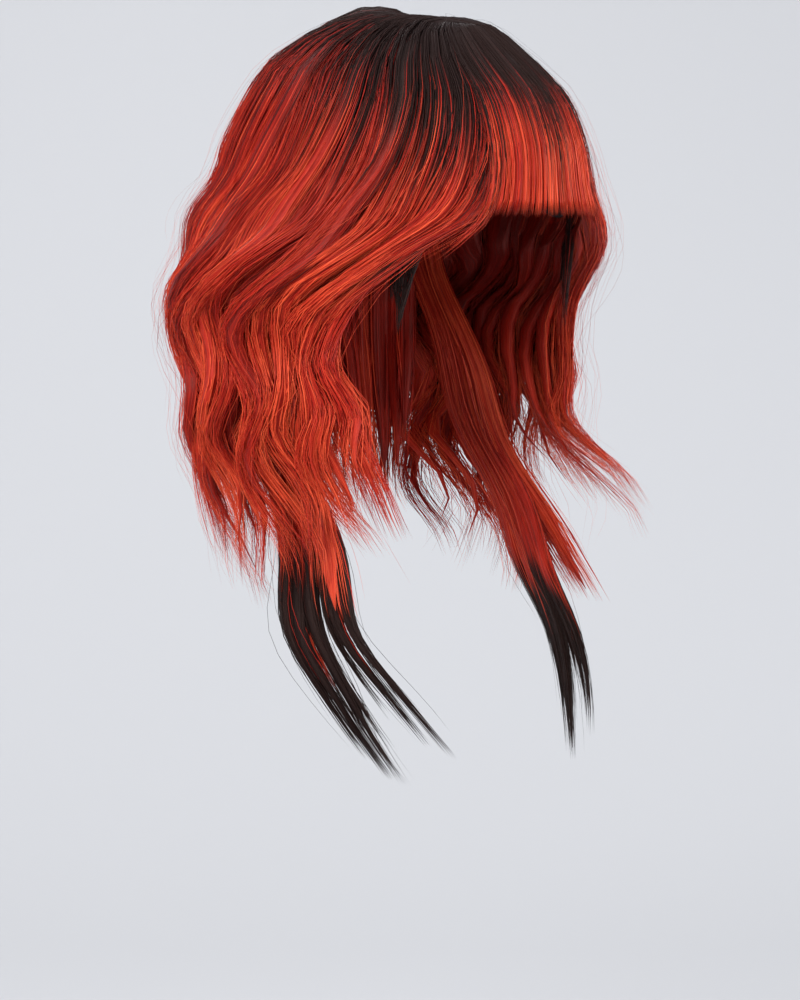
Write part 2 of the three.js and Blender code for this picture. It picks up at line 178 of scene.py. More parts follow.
# A point in the waved hair: on the form, less its depth, moved out by a cosine and aside by a sine of its
# drop, each growing from a start down. turnBy shifts the wave, gain scales it, longer stretches it and
# sway is a move aside
def inHair(q, u, deep, turnBy=0.0, gain=1.0, sway=0.0, longer=1.0):
    at, aside, out = axesAt(slanted(q, u), u)
    at[..., 0] += slant["partingIn"] * (1 - smooth(u, 0, 0.08))
    drop = -at[..., 2]
    grown = gain * smooth(drop, waves["start"], waves["start"] + waves["length"])
    phase = 2 * np.pi * ((drop - waves["firstCrest"]) / (waves["length"] * longer)
                         - waves["drift"] * np.maximum(q, 0)) + turnBy
    byFace = mix(waves["asideAtFace"], 1, smooth(q, 0, 0.25)) * (q > 0)
    asideBy = waves["aside"] * grown * byFace * np.sin(phase)
    outBy = waves["out"] * grown * np.cos(phase)
    points = at + out * (outBy - deep)[..., None] + aside * (asideBy + sway)[..., None]
    over = np.maximum(np.abs(points[..., 0]) - hair["broad"], 0)
    points[..., 0] -= hair["drawIn"] * over * np.sign(points[..., 0])
    return clearOfHead(points, hair["offHead"]), out


# Keeps points on the right of the middle
def ownSide(points):
    points[..., 0] = np.minimum(points[..., 0], -hair["offMiddle"])
    return points


# Length run along each path up to each of its points
def lengthAlong(paths):
    steps = np.linalg.norm(np.diff(paths, axis=1), axis=-1)
    return np.concatenate([np.zeros((len(paths), 1)), np.cumsum(steps, 1)], 1)


# A strand's height and foot as shares of its half width, its place in the UV map, and how far apart strands,
# bodies and the two faces of a wall lie in the flow, so that no two have the same streaks
tube = {
    "rise": 0.62, "foot": 0.4, "uvRows": 8, "uvEnds": (0.02, 0.98), "uvRing": (0.1, 0.8),
    "strandsApart": 3.7, "bodiesApart": 41, "facesApart": 300,
}


# Tubes of three sides along many paths at once: at each point a low triangle stands square to the path,
# two corners to its sides and one outward, and the last point closes it. Columns of the UV map, one for
# each strand, lie in rows. The flow of a point is its strand's own number and the length run
def strandTubes(paths, outs, halfWidth, block):
    count, steps = paths.shape[:2]
    way = unit(np.gradient(paths, axis=1))
    side = unit(np.cross(way, outs))
    up = unit(np.cross(side, way))
    w, h = halfWidth[:, :-1, None], (halfWidth * tube["rise"])[:, :-1, None]
    at, side, up = paths[:, :-1], side[:, :-1], up[:, :-1]
    foot = up * h * tube["foot"]
    rings = np.stack([at - side * w - foot, at + side * w - foot, at + up * h], 2)
    points = np.concatenate([rings.reshape(count, -1, 3), paths[:, -1:]], 1).reshape(-1, 3)
    start = (np.arange(count) * (3 * (steps - 1) + 1))[:, None, None]
    ring = start + (np.arange(steps - 2) * 3)[None, :, None]
    k = np.arange(3)
    a, b = ring + k, ring + (k + 1) % 3
    quads = np.stack([a, a + 3, b + 3, b], -1).reshape(-1, 4)
    last = start + 3 * (steps - 2)
    ends = columns(last + k, last + 3, last + (k + 1) % 3)
    tris = np.concatenate([(start + k[None, :]).reshape(-1, 3), ends.reshape(-1, 3)])

    rows = tube["uvRows"]
    perRow = -(-count // rows)
    low, high = block
    left = (low + (high - low) * (np.arange(count) % perRow) / perRow)[:, None, None, None]
    row = (np.arange(count) // perRow)[:, None, None, None]
    wide = (high - low) / perRow
    t = np.linspace(*tube["uvEnds"], steps)

    edge, ringWide = tube["uvRing"]

    def uvOf(across, along):
        return columns(left + wide * (edge + ringWide / 3 * across), (row + along) / rows)

    uvQuads = uvOf(np.stack([k, k, k + 1, k + 1], -1),
                   np.stack([t[:-2], t[1:-1], t[1:-1], t[:-2]], -1)[:, None])
    uvFirst = uvOf(k, t[0] + 0 * k)
    uvEnds = uvOf(np.stack([k, k + 0.5, k + 1], -1), np.array([t[-2], t[-1], t[-2]]))

    def spread(values):
        joined = np.concatenate([np.repeat(values[:, :-1], 3, 1), values[:, -1:]], 1)
        return joined.reshape(-1, *values.shape[2:])

    flow = columns(np.arange(count)[:, None] * tube["strandsApart"], lengthAlong(paths), 0.0)
    return {"points": points, "quads": quads, "tris": tris, "uvQuads": uvQuads.reshape(-1, 4, 2),
            "uvTris": np.concatenate([uvFirst.reshape(-1, 3, 2), uvEnds.reshape(-1, 3, 2)]),
            "shape": (count, steps), "spread": spread, "flow": spread(flow)}


# Quads of a grid whose last column joins its first, with the row and the column of each corner
def ringQuads(rows, around):
    i, j = (k.reshape(-1) for k in np.meshgrid(np.arange(rows - 1), np.arange(around), indexing="ij"))
    a, b = i * around + j, i * around + (j + 1) % around
    return (np.stack([a, b, b + around, a + around], -1), np.stack([i, i, i + 1, i + 1], -1),
            np.stack([j, j + 1, j + 1, j], -1))


# Closed tubes from grids of points: for each tube, rings along it and points round each ring, with a fan
# at both ends. The flow is the length round the ring, for a mean girth, and the length run
def closedTubes(points, block, girth):
    count, steps, around = points.shape[:3]
    start = (np.arange(count) * steps * around)[:, None, None]
    quads, rowOf, colOf = ringQuads(steps, around)
    k = np.arange(1, around - 1)
    fan = np.stack([0 * k, k + 1, k], -1)
    ends = np.concatenate([fan, fan[:, ::-1] + (steps - 1) * around])
    low, high = block
    left = (low + (high - low) * np.arange(count) / count)[:, None, None]
    wide = (high - low) / count

    def uvOf(row, col):
        return columns(left + wide * (0.04 + 0.92 * col / around), 0.02 + 0.96 * row / (steps - 1))

    run = lengthAlong(points.mean(2))[..., None]
    number = np.arange(count)[:, None, None]
    flow = columns(np.arange(around) / around * girth + tube["bodiesApart"] * number, run, 0.0)
    return outwards({
        "points": points.reshape(-1, 3), "quads": (start + quads).reshape(-1, 4),
        "tris": (start + ends).reshape(-1, 3), "uvQuads": uvOf(rowOf, colOf).reshape(-1, 4, 2),
        "uvTris": uvOf(ends // around, ends % around).reshape(-1, 3, 2), "flow": flow.reshape(-1, 3),
        "run": run, "shape": points.shape[:3], "spread": np.ravel,
    })


# A closed wall between two grids of points, an outer and an inner one: the faces of both, and strips
# that join their four edges
def wallBetween(outer, inner, block, span):
    rows, cols = outer.shape[:2]
    loop = np.concatenate([outer, inner[:, ::-1]], 1)
    around = 2 * cols
    quads, rowOf, colOf = ringQuads(rows, around)
    k = np.arange(cols - 1)
    top = np.stack([k + 1, k, around - 1 - k, around - 2 - k], -1)
    edges = np.concatenate([top, top[:, ::-1] + (rows - 1) * around])
    low, high = block
    across = low + (high - low) * np.linspace(0.01, 0.99, around + 1)
    down = np.linspace(0.01, 0.99, rows)
    half = np.linspace(0, span, cols)
    run = lengthAlong(loop.transpose(1, 0, 2)).T
    return outwards({
        "points": loop.reshape(-1, 3), "quads": np.concatenate([quads, edges]), "tris": np.zeros((0, 3), int),
        "uvQuads": columns(across[np.concatenate([colOf, edges % around])],
                           down[np.concatenate([rowOf, edges // around])]),
        "uvTris": np.zeros((0, 3, 2)),
        "flow": columns(np.concatenate([half, tube["facesApart"] + half[::-1]]), run, 0.0).reshape(-1, 3),
        "run": run[:, :cols], "shape": (rows, cols),
        "spread": lambda values: np.concatenate([values, values[:, ::-1]], 1).ravel(),
    })


# Turns the faces of a closed part round if the volume that they enclose comes out negative
def outwards(part):
    a, b, c, d = (part["points"][part["quads"][:, i]] for i in range(4))
    if (np.cross(a, b) * c).sum() + (np.cross(a, c) * d).sum() < 0:
        for key in ("quads", "tris", "uvQuads", "uvTris"):
            part[key] = part[key][:, ::-1]
    return part


# Gives a part its tone, dark and painted shade, from 0 to 1 at each point
def withNumbers(part, tone, dark, paintedShade):
    for key, values in (("tone", tone), ("dark", dark), ("paintedShade", paintedShade)):
        part[key] = part["spread"](np.clip(np.broadcast_to(values, part["shape"]), 0, 1))
    return part


# Joins parts into one mesh with its UV map, its flow and one number a point for each attribute
def makePiece(name, parts, material, nodes, numbers=("tone", "dark", "paintedShade")):
    def joined(key):
        return np.concatenate([part[key] for part in parts])

    def fill(data, key, values, kind=np.float32):
        data.foreach_set(key, values.astype(kind).ravel())

    offsets = np.cumsum([0] + [len(part["points"]) for part in parts[:-1]])
    quads, tris = (np.concatenate([part[key] + offset for part, offset in zip(parts, offsets)])
                   for key in ("quads", "tris"))
    corners = np.concatenate([quads.ravel(), tris.ravel()])
    starts = np.concatenate([np.arange(len(quads)) * 4, len(quads) * 4 + np.arange(len(tris)) * 3])
    points = joined("points") * mm
    mesh = bpy.data.meshes.new(name)
    mesh.vertices.add(len(points))
    mesh.loops.add(len(corners))
    mesh.polygons.add(len(starts))
    fill(mesh.vertices, "co", points)
    fill(mesh.loops, "vertex_index", corners, np.int32)
    fill(mesh.polygons, "loop_start", starts, np.int32)
    mesh.update(calc_edges=True)
    for key in numbers:
        fill(mesh.attributes.new(key, "FLOAT", "POINT").data, "value", joined(key))
    fill(mesh.attributes.new("flow", "FLOAT_VECTOR", "POINT").data, "vector", joined("flow"))
    uv = np.concatenate([joined("uvQuads").reshape(-1, 2), joined("uvTris").reshape(-1, 2)])
    fill(mesh.uv_layers.new(name="OFBake", do_init=False).uv, "vector", uv)
    fill(mesh.polygons, "use_smooth", np.ones(len(starts)), bool)
    mesh.materials.append(material)
    piece = addObject(name, mesh)
    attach(piece, "root")
    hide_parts(*nodes)
    print(f"{name}: {len(quads) * 2 + len(tris)} triangles")


# A new object in the scene
def addObject(name, data):
    made = bpy.data.objects.new(name, data)
    bpy.context.scene.collection.objects.link(made)
    return made


# Fills a node's inputs by name or number: an output is linked, any other value is set
def setInputs(tree, node, inputs):
    for key, value in inputs.items():
        if isinstance(value, bpy.types.NodeSocket):
            tree.links.new(value, node.inputs[key])
        else:
            node.inputs[key].default_value = value


# Adds a node with its settings and inputs, and gives one of its outputs
def addNode(tree, kind, inputs, output=0, **settings):
    node = tree.nodes.new("ShaderNode" + kind)
    for key, value in settings.items():
        setattr(node, key, value)
    setInputs(tree, node, inputs)
    return node.outputs[output]


# The output of an attribute of the mesh
def attribute(tree, name, output="Fac"):
    return addNode(tree, "Attribute", {}, output, attribute_name=name)


# A value times a gain, plus an offset
def scaled(tree, value, gain, offset):
    return addNode(tree, "Math", {0: value, 1: gain, 2: offset}, operation="MULTIPLY_ADD")


# A value carried from the range low to high to that from start to end
def ranged(tree, value, low, high, start=0.0, end=1.0, **settings):
    return addNode(tree, "MapRange", {"Value": value, "From Min": low, "From Max": high,
                                      "To Min": start, "To Max": end}, **settings)


# Colours that a value runs through from 0 to 1, those between its ends at their own places
def ramp(tree, value, colours, between=()):
    made = addNode(tree, "ValToRGB", {"Fac": value})
    elements = made.node.color_ramp.elements
    for place in between:
        elements.new(place)
    for element, colour in zip(elements, colours):
        element.color = (*colour, 1)
    return made


# A new material whose node tree is made by a function, which gives the inputs of its shader
def newMaterial(name, make):
    material = bpy.data.materials.new(name)
    material.use_nodes = True
    tree = material.node_tree
    setInputs(tree, tree.nodes["Principled BSDF"], make(tree))
    return material


fibre = {
    "deepRed": (0.1, 0.003, 0.003), "red": (0.48, 0.017, 0.008), "brightRed": (0.9, 0.115, 0.04), "redAt": 0.46,
    "black": (0.008, 0.0026, 0.0027), "paintedShade": (0.3, 0.17, 0.17), "blackOver": (0.8, 1.5), "frayed": 1.2,
    "streaks": (0.55, 0.012, 1), "streakTone": 1.6, "slowTone": 0.4, "toneOver": (-0.1, 1.05),
    "roughness": (0.33, 0.5), "blackRougher": 0.1, "specular": 0.27, "glint": (1, 0.68, 0.58),
    "bump": {"Strength": 0.85, "Distance": 0.0008},
    "slowNoise": {"Scale": 45, "Detail": 3}, "streakNoise": {"Scale": 1, "Detail": 5, "Roughness": 0.64},
}


# Hair fibre: red that changes from strand to strand and in fine streaks along the flow, mixed to black by
# the dark attribute, frayed by the streaks, and darkened by painted shade. The streaks give the bump and the
# gloss
def hairFibre(tree):
    place = addNode(tree, "TexCoord", {}, "Object")
    slow = addNode(tree, "TexNoise", {"Vector": place, **fibre["slowNoise"]})
    along = addNode(tree, "Mapping", {"Vector": attribute(tree, "flow", "Vector"), "Scale": fibre["streaks"]})
    streaks = addNode(tree, "TexNoise", {"Vector": along, **fibre["streakNoise"]})
    streaked = scaled(tree, streaks, fibre["streakTone"], attribute(tree, "tone"))
    varied = scaled(tree, slow, fibre["slowTone"], streaked)
    middle = (fibre["streakTone"] + fibre["slowTone"]) / 2
    shade = ranged(tree, varied, *(middle + by for by in fibre["toneOver"]))
    reds = ramp(tree, shade, [fibre[key] for key in ("deepRed", "red", "brightRed")], (fibre["redAt"],))
    frayed = scaled(tree, streaks, fibre["frayed"], attribute(tree, "dark"))
    blackness = ranged(tree, frayed, *fibre["blackOver"], interpolation_type="SMOOTHSTEP")
    rooted = addNode(tree, "Mix", {"Factor": blackness, "A": reds, "B": (*fibre["black"], 1)}, "Result",
                     data_type="RGBA")
    # painted shade: the colour is multiplied towards a dim brown where hair lies deep, in creases and under
    # other hair
    paintedShade = attribute(tree, "paintedShade")
    shaded = addNode(tree, "Mix", {"Factor": paintedShade, "A": rooted, "B": (*fibre["paintedShade"], 1)}, "Result",
                     data_type="RGBA", blend_type="MULTIPLY")
    gloss = ranged(tree, streaks, 0.3, 0.7, *fibre["roughness"])
    return {
        "Base Color": shaded, "Roughness": scaled(tree, blackness, fibre["blackRougher"], gloss),
        "Normal": addNode(tree, "Bump", {"Height": streaks, **fibre["bump"]}, "Normal"),
        "Specular IOR Level": fibre["specular"], "Specular Tint": (*fibre["glint"], 1),
    }


# How far the dark roots run down the strands, in millimetres, and how much further beside the fringe
roots = {
    "from": 20, "spread": 70, "fade": 100, "beside": 24, "besideAt": -0.02, "besideWide": 0.22,
    "shortOnes": 0.92, "short": 0.55,
}


# Draws for a whole set of strands at once, one number each, as a column
def drawer(rng, count):
    return lambda low, high: rng.uniform(low, high, (count, 1))


# A sine along the strands, of a drawn rate and start
def ripple(draw, low, high, along):
    return np.sin(draw(low, high) * along + draw(0, 6.3))


# Middles and half widths of locks side by side from low to high, each as wide as its share
def placesOf(share, low, high):
    edges = low + (high - low) * np.concatenate([[0], np.cumsum(share)]) / share.sum()
    return (edges[:-1] + edges[1:]) / 2, (edges[1:] - edges[:-1]) / 2


# A strand's width along it: finer over its first stretch, and less to its tip
def taper(t, tip, tipFrom, rootTo=0.0):
    root = mix(0.6, 1, smooth(t, 0, rootTo)) if rootTo else 1
    return root * mix(1, tip, smooth(t, tipFrom, 1))


# A body's width along it: it grows over its start, and from tipFrom on it closes as a circle does
def pointed(t, low, high, tipFrom):
    return smooth(t, low, high) * np.sqrt(np.maximum(1 - smooth(t, tipFrom, 1), 0.0004))


# Angles round a ring of points, from the given one
def ringAngles(count, start):
    return 2 * np.pi * np.arange(count) / count + start


# The run at which the roots end: their least, a share of their spread, more beside the fringe, and by
def rootEnd(q, by, share, spread=roots["spread"]):
    beside = roots["beside"] * np.exp(-((q - roots["besideAt"]) / roots["besideWide"])**2)
    return roots["from"] + spread * share + beside + by


# How dark each strand is after a run: black from the parting to its own length, then fading
def rootDark(run, q, by, draw, spread=roots["spread"]):
    end = rootEnd(q, by, draw(0, 1)**1.3, spread) * np.where(draw(0, 1) > roots["shortOnes"], roots["short"], 1)
    return 1 - smooth(run, end, end + roots["fade"] * draw(0.6, 1.4))


# Turns a set of strand paths into a part: tubes for the given side, with their numbers
def strandPart(points, outs, width, tone, dark, paintedShade, side, block=(0.505, 0.995)):
    tubes = strandTubes(points * mirror(side), outs * mirror(side), width, block)
    return withNumbers(tubes, tone, dark, paintedShade)


oddTones = {"apart": 0.22, "brightFrom": 0.92, "brighter": 0.4, "deepTo": 0.1, "deeper": 0.25}


# Tone of each strand: its lock's own, a draw, and now and then a bright or a deep one
def strandTone(lockTone, draw):
    odd = draw(0, 1)
    return (lockTone + draw(-oddTones["apart"], oddTones["apart"])
            + np.where(odd > oddTones["brightFrom"], oddTones["brighter"], 0)
            - np.where(odd < oddTones["deepTo"], oddTones["deeper"], 0))


# One number for each strand, drawn from one range for strays and from another for the rest
def strayOr(stray, draw, ofStray, ofRest):
    return np.where(stray, draw(*ofStray), draw(*ofRest))


# Rows of locks in a waved piece: how many, how wide beside an even share, how deep they lie in
# millimetres, how much painted shade their depth gives them and how many strands each has
waveRows = {
    "outer": {"locks": 7, "wide": 1.0, "deep": 1.2, "paintedShade": 0.0, "strands": 76},
    "inner": {"locks": 6, "wide": 1.1, "deep": 8.0, "paintedShade": 0.5, "strands": 24},
    "over": {"locks": 3, "wide": 0.42, "deep": -1.2, "paintedShade": 0.0, "strands": 26},
    "lining": {"locks": 6, "wide": 1.15, "deep": 21.0, "paintedShade": 0.6, "strands": 30},
}

# How far down the locks reach, and how far their tips flick out, along q on the right and the left
cut = {
    "q": [0.045, 0.135, 0.225, 0.315, 0.405, 0.495, 0.585, 0.675, 0.765, 0.855, 0.945],
    "rightReach": [0.9, 0.95, 0.97, 1, 0.97, 1, 0.98, 0.98, 0.94, 0.96, 0.93],
    "leftReach": [0.91, 0.92, 0.9, 0.93, 1.0, 0.98, 0.97, 0.92, 0.96, 0.92, 0.95],
    "rightFlick": [0.15, -0.1, 0.1, 0.2, 0.15, 0.2, 0.32, 0.3, 0.3, 0.15, 0.08],
    "leftFlick": [1.2, 1.15, 0.8, 0.15, 0.5, 0.3, 0, 0.1, 0, 0.1, 0],
    "rightAside": [-15, -9, -4, 0, 0, 0, 0, 0, 0, 0, 0],
    "leftAside": [0, 0, 0, 0, 0, 0, 0, 0, 0, 0, 0],
    "layered": [0.45, 0.45, 0.7, 1, 1, 1, 1, 1, 1, 1, 1],
    "narrow": [0.15, 0.2, 0.4, 0.45, 0.45, 0.45, 0.45, 0.45, 0.45, 0.45, 0.45],
}

sideNames = {1: "right", -1: "left"}
lockRoots = {"innerBlack": 66, "leftEarlier": 30, "backEarlier": 20, "leftPaintedLight": 0.2}


# The locks of one piece, side by side from low to high in each of its rows. On the right the inner ones
# beside the front opening stay black further down, and on the left all there turn red earlier and get painted
# light, a brighter tone
def waveLockTable(low, high, side, seed):
    rng = np.random.default_rng(seed)
    rows = []
    for kind, row in waveRows.items():
        number = row["locks"]
        share = rng.uniform(0.75, 1.25, number)
        q, half = placesOf(share, low, high)

        def vary(least, most):
            return rng.uniform(least, most, number)

        def alongCut(key):
            return np.interp(q, cut["q"], cut[key])

        name = sideNames[side]
        if side > 0:
            atFace = (kind == "inner") * lockRoots["innerBlack"] * (1 - smooth(q, 0.05, 0.09))
        else:
            atFace = -lockRoots["leftEarlier"] * (1 - smooth(q, 0.1, 0.3))
        # painted light: on the left the locks near the front get a brighter tone, standing in for light that
        # the lamps give them too little of
        brighter = lockRoots["leftPaintedLight"] * (side < 0) * (1 - smooth(q, 0.2, 0.5))
        rows.append({
            "q": q, "half": half * row["wide"],
            "count": np.round(row["strands"] * share / share.mean()).astype(int),
            "reach": alongCut(name + "Reach") * vary(0.96, 1.015),
            "flick": alongCut(name + "Flick") + vary(-0.08, 0.12),
            "deep": row["deep"] + vary(-0.8, 1.4), "round": vary(4.5, 7),
            "turnBy": vary(-1.15, 1.15), "gain": vary(0.8, 1.5), "longer": vary(0.9, 1.16),
            "twist": vary(-1.1, 1.1), "wander": vary(-0.009, 0.009),
            "rootBy": vary(-14, 26) + atFace - lockRoots["backEarlier"] * smooth(q, 0.3, 0.6),
            "tone": vary(0.2, 0.76) + brighter,
            "narrow": alongCut("narrow") + vary(-0.12, 0.2), "layered": vary(0.08, 0.2) * alongCut("layered"),
            "paintedShade": row["paintedShade"] * smooth(q, -0.06, 0.14), "aside": alongCut(name + "Aside"),
        })
    return {key: np.concatenate([row[key] for row in rows]) for key in rows[0]}


lockShape = {
    "wide": 1.3, "tipFrom": 0.62, "curlFrom": 0.74, "curlBack": 1.7, "tipFlat": 0.45,
    "red": 0.12, "redOver": (30, 150), "tipRedder": (0.12, 0.5, 0.85),
}


# A lock's section at level u: wide and flat at the parting, rounder where the hair waves, turning a little
# as it falls and narrow at the tip, which the flick takes in and then out
def lockSection(lock, u):
    reach, fall = lock["reach"], smooth(u, 0.2, 0.5)
    tip, curl = (smooth(u, reach * lockShape[key], reach) for key in ("tipFrom", "curlFrom"))
    flick = lock["flick"] * hair["lockDepth"] * (curl**3 - lockShape["curlBack"] * curl * (1 - curl))
    thick = thickAt(lock["q"], u)
    return {
        "middle": lock["q"] + lock["wander"] * fall * np.sin(6.0 * u + 3.1 * lock["turnBy"]),
        "halfSpan": lock["half"] * mix(lockShape["wide"], 1, fall) * (1 - lock["narrow"] * tip),
        "halfDeep": mix(1.0, lock["round"], fall) * (1 - lockShape["tipFlat"] * tip),
        "top": lock["deep"] * smooth(u, 0.02, 0.3) * mix(1, thick, lock["paintedShade"] > 0) - flick,
        "turn": lock["twist"] * fall * np.sin(5.5 * u + lock["turnBy"]),
        "fall": fall, "tip": tip,
    }


# A lock's points at an angle and a radius in its section: q and depth go round an oval, and a shift and a
# sway are added
def inLock(lock, section, u, angle, radius, shift, sway, turnBy, gain):
    q = section["middle"] + section["halfSpan"] * radius * np.cos(angle)
    deep = section["top"] + section["halfDeep"] * (1 - radius * np.sin(angle)) + shift
    points, outs = inHair(np.clip(q, 0.004, 0.996), u, deep, turnBy, gain, sway, lock["longer"])
    return ownSide(points), outs


# Tone along a lock: its own, more towards the tips and little of it near the roots
def lockToneAlong(tone, u, run):
    more, *over = lockShape["tipRedder"]
    return (tone + more * smooth(u, *over)) * mix(lockShape["red"], 1, smooth(run, *lockShape["redOver"]))


lockStrand = {
    "aboveShare": 5, "aboveTo": 0.34, "angles": (-35, 215), "radius": (0.6, 1.2), "strays": 0.93,
    "width": (0.16, 0.38), "strayWidth": (0.1, 0.15), "sway": (0.2, 1.2), "straySway": (2.5, 10.5),
}


# The strands of a piece's locks. Each keeps its place in its lock's oval section all the way down, with a
# slow sway of its own, and a few stray well out of it
def lockStrands(locks, side, seed, steps, block):
    rng = np.random.default_rng(seed)
    lock = {key: np.repeat(values, locks["count"])[:, None] for key, values in locks.items()}
    draw = drawer(rng, len(lock["q"]))
    above = steps // lockStrand["aboveShare"]
    split = lockStrand["aboveTo"]
    t = np.concatenate([np.linspace(0, split, above + 1)[:-1], np.linspace(split, 1, steps - above)])[None, :]
    u = np.minimum(t * lock["reach"] * (1 - lock["layered"] * draw(0, 1)**1.5), 1)
    section = lockSection(lock, u)
    tip = section["tip"]
    angle, radius = np.radians(draw(*lockStrand["angles"])), np.sqrt(draw(*lockStrand["radius"]))
    angle = angle + section["turn"]
    stray = draw(0, 1) > lockStrand["strays"]
    amount = strayOr(stray, draw, lockStrand["straySway"], lockStrand["sway"]) * smooth(u, 0.08, 0.9)
    sway = (amount * ripple(draw, 9, 20, u) + amount * 0.6 * ripple(draw, 20, 36, u)
            + (draw(-5, 5) + lock["aside"]) * tip**2)
    lift = amount * ripple(draw, 8, 22, u) * np.where(stray, 1.1, 0.5) + draw(-1.5, 2.5) * tip**2
    points, outs = inLock(lock, section, u, angle, radius, -lift, sway, lock["turnBy"] + draw(-0.14, 0.14),
                          lock["gain"] * draw(0.9, 1.1))
    width = strayOr(stray, draw, lockStrand["strayWidth"], lockStrand["width"]) * taper(t, 0.4, 0.8, 0.1)
    run = lengthAlong(points)
    dark = rootDark(run, lock["q"], lock["rootBy"], draw)
    # painted shade: strands deeper in their lock's oval, and whole rows that lie deep, are darker; less so near
    # the tips
    creaseShade = 0.33 * (1 - radius * np.sin(angle)) * section["fall"]
    paintedShade = (lock["paintedShade"] + creaseShade) * (1 - 0.85 * smooth(u, 0.55, 0.8))
    tone = lockToneAlong(strandTone(lock["tone"], draw), u, run)
    return strandPart(points, outs, width, tone, dark, paintedShade, side, block)


# the bodies' tone is lowered by one setting and capped by brightest, as painted shade under the strands that
# lie over them
lockBody = {
    "steps": 34, "around": 12, "size": 0.77, "shorter": 0.96, "girth": 58,
    "deeper": 2.4, "lessDeep": 2.0, "rootShare": 0.4, "paintedShadeUnder": 0.17, "brightest": 0.36, "block": (0.165, 0.44),
}


# The bodies of the locks, which the strands lie over: closed tubes of the same sections, a little smaller,
# with ridges along them and pointed ends
def lockBodies(locks, side, seed):
    rng = np.random.default_rng(seed)
    lock = {key: values[:, None, None] for key, values in locks.items()}
    t = np.linspace(0, 1, lockBody["steps"])[None, :, None]
    u = np.minimum(mix(0.012, lockBody["shorter"] * lock["reach"], t), 1)
    section = lockSection(lock, u)
    angle = ringAngles(lockBody["around"], -np.pi / 2)
    phase = rng.uniform(0, 6.3, (4, *lock["q"].shape))
    ridge = 1 + 0.07 * np.sin(4 * angle + phase[0] + 5 * u) + 0.05 * np.sin(7 * angle + phase[1] - 7 * u)
    size = lockBody["size"] * ridge * pointed(t, -0.01, 0.03, 0.74)
    turned = angle + section["turn"]
    shift = lockBody["deeper"] - lockBody["lessDeep"] * section["fall"]
    sway = 0.9 * np.sin(13 * u + phase[2]) * section["fall"] + lock["aside"] * section["tip"]**2
    points, _ = inLock(lock, section, u, turned, size, shift, sway, lock["turnBy"], lock["gain"])
    part = closedTubes(points * mirror(side), lockBody["block"], lockBody["girth"])
    end = rootEnd(lock["q"], lock["rootBy"], lockBody["rootShare"])
    # painted shade: each body is darker round its underside and sides, where the crease between locks falls,
    # and deeper in the hair
    creaseShade = 0.8 * (1 - np.sin(turned)) / 2 * section["fall"]
    paintedShade = np.clip(lock["paintedShade"] + creaseShade + 0.12, 0, 1) * (1 - 0.8 * smooth(u, 0.55, 0.8))
    # painted shade: a body's tone is kept below its strands', as the shade under them
    own = np.clip(lock["tone"] - lockBody["paintedShadeUnder"], 0, lockBody["brightest"])
    return withNumbers(part, lockToneAlong(own, u, part["run"]),
                       1 - smooth(part["run"], end, end + roots["fade"]), paintedShade)


flyaway = {"strands": 70, "steps": 18, "apart": (3, 16), "width": (0.07, 0.12), "block": (0.45, 0.5)}


# Single hairs that stand off the waves: each follows the form, then bows away from it and aside
def flyaways(low, high, side, seed):
    rng = np.random.default_rng(seed)
    draw = drawer(rng, flyaway["strands"])
    t = np.linspace(0, 1, flyaway["steps"])[None, :]
    start, end = draw(0.01, 0.5), draw(0.55, 0.97)
    u = mix(start, end, t)
    apart = draw(*flyaway["apart"]) * draw(0.3, 1) * np.sin(np.pi * t**draw(0.8, 2.2) * draw(0.6, 1.0))
    sway = draw(-22, 22) * t**2 + draw(0, 6) * ripple(draw, 2, 9, t) * t
    q = np.clip(low + (high - low) * draw(0, 1) + 0 * u, 0.01, 0.99)
    points, outs = inHair(q, u, 1.5 - apart, draw(-1, 1), 1.0, sway)
    points = ownSide(points)
    width = draw(*flyaway["width"]) * mix(1, 0.5, t)
    dark = rootDark(lengthAlong(points) + 200 * start, q[:, :1], 0.0, draw)
    return strandPart(points, outs, width, strandTone(0.55, draw), dark, 0.0, side, flyaway["block"])


underWaves = {
    "cols": 56, "rows": 36, "reach": 0.8, "notchEvery": 0.024, "top": (2.5, 9.5), "tipFrom": 0.72,
    "foot": 0.84, "apart": 1.2, "dark": (70, 135), "block": (0.005, 0.16), "span": 640,
}


# The under hair of a waved piece: a wall between two depths of the form, ridged along its fall and ending
# in points under the locks
def underHair(low, high, reachAt, side, seed):
    rng = np.random.default_rng(seed)
    q = np.linspace(low, high, underWaves["cols"])[None, :]
    notch = (0.05 * np.abs(np.sin(np.pi * q / underWaves["notchEvery"]))
             + 0.03 * rng.uniform(-1, 1, (1, underWaves["cols"])))
    t = np.linspace(0, 1, underWaves["rows"])[:, None]
    u = mix(0.02, reachAt(q) * underWaves["reach"] - notch, t)
    thick = hair["lockDepth"] * thickAt(q, u)
    tip = smooth(t, underWaves["tipFrom"], 1)
    ridge = 0.9 * np.sin(q * 260 + 3 * np.sin(6 * u)) + 0.7 * np.sin(q * 610 + 2 + 4 * u)
    top = mix(*underWaves["top"], smooth(u, 0.02, 0.25))
    outerDeep = mix(top + ridge * smooth(u, 0.1, 0.4), thick * 0.55, tip)
    innerDeep = mix(np.maximum(thick * underWaves["foot"], top + 2.5) + 0.6 * ridge, thick * 0.55 + 0.3, tip)
    outer, inner = (inHair(q + 0 * u, u, deep)[0] for deep in (outerDeep, innerDeep))
    outer = ownSide(clearOfHead(outer, hair["offHead"] + underWaves["apart"]))
    part = wallBetween(outer * mirror(side), ownSide(inner) * mirror(side), underWaves["block"],
                       (high - low) * underWaves["span"])
    tone = 0.3 + 0.2 * rng.uniform(-1, 1, (1, underWaves["cols"]))
    # painted shade: the under hair is darkened, less so towards its tips
    return withNumbers(part, tone, 1 - smooth(part["run"], *underWaves["dark"]),
                       0.8 * (1 - 0.75 * smooth(u, 0.55, 0.85)))


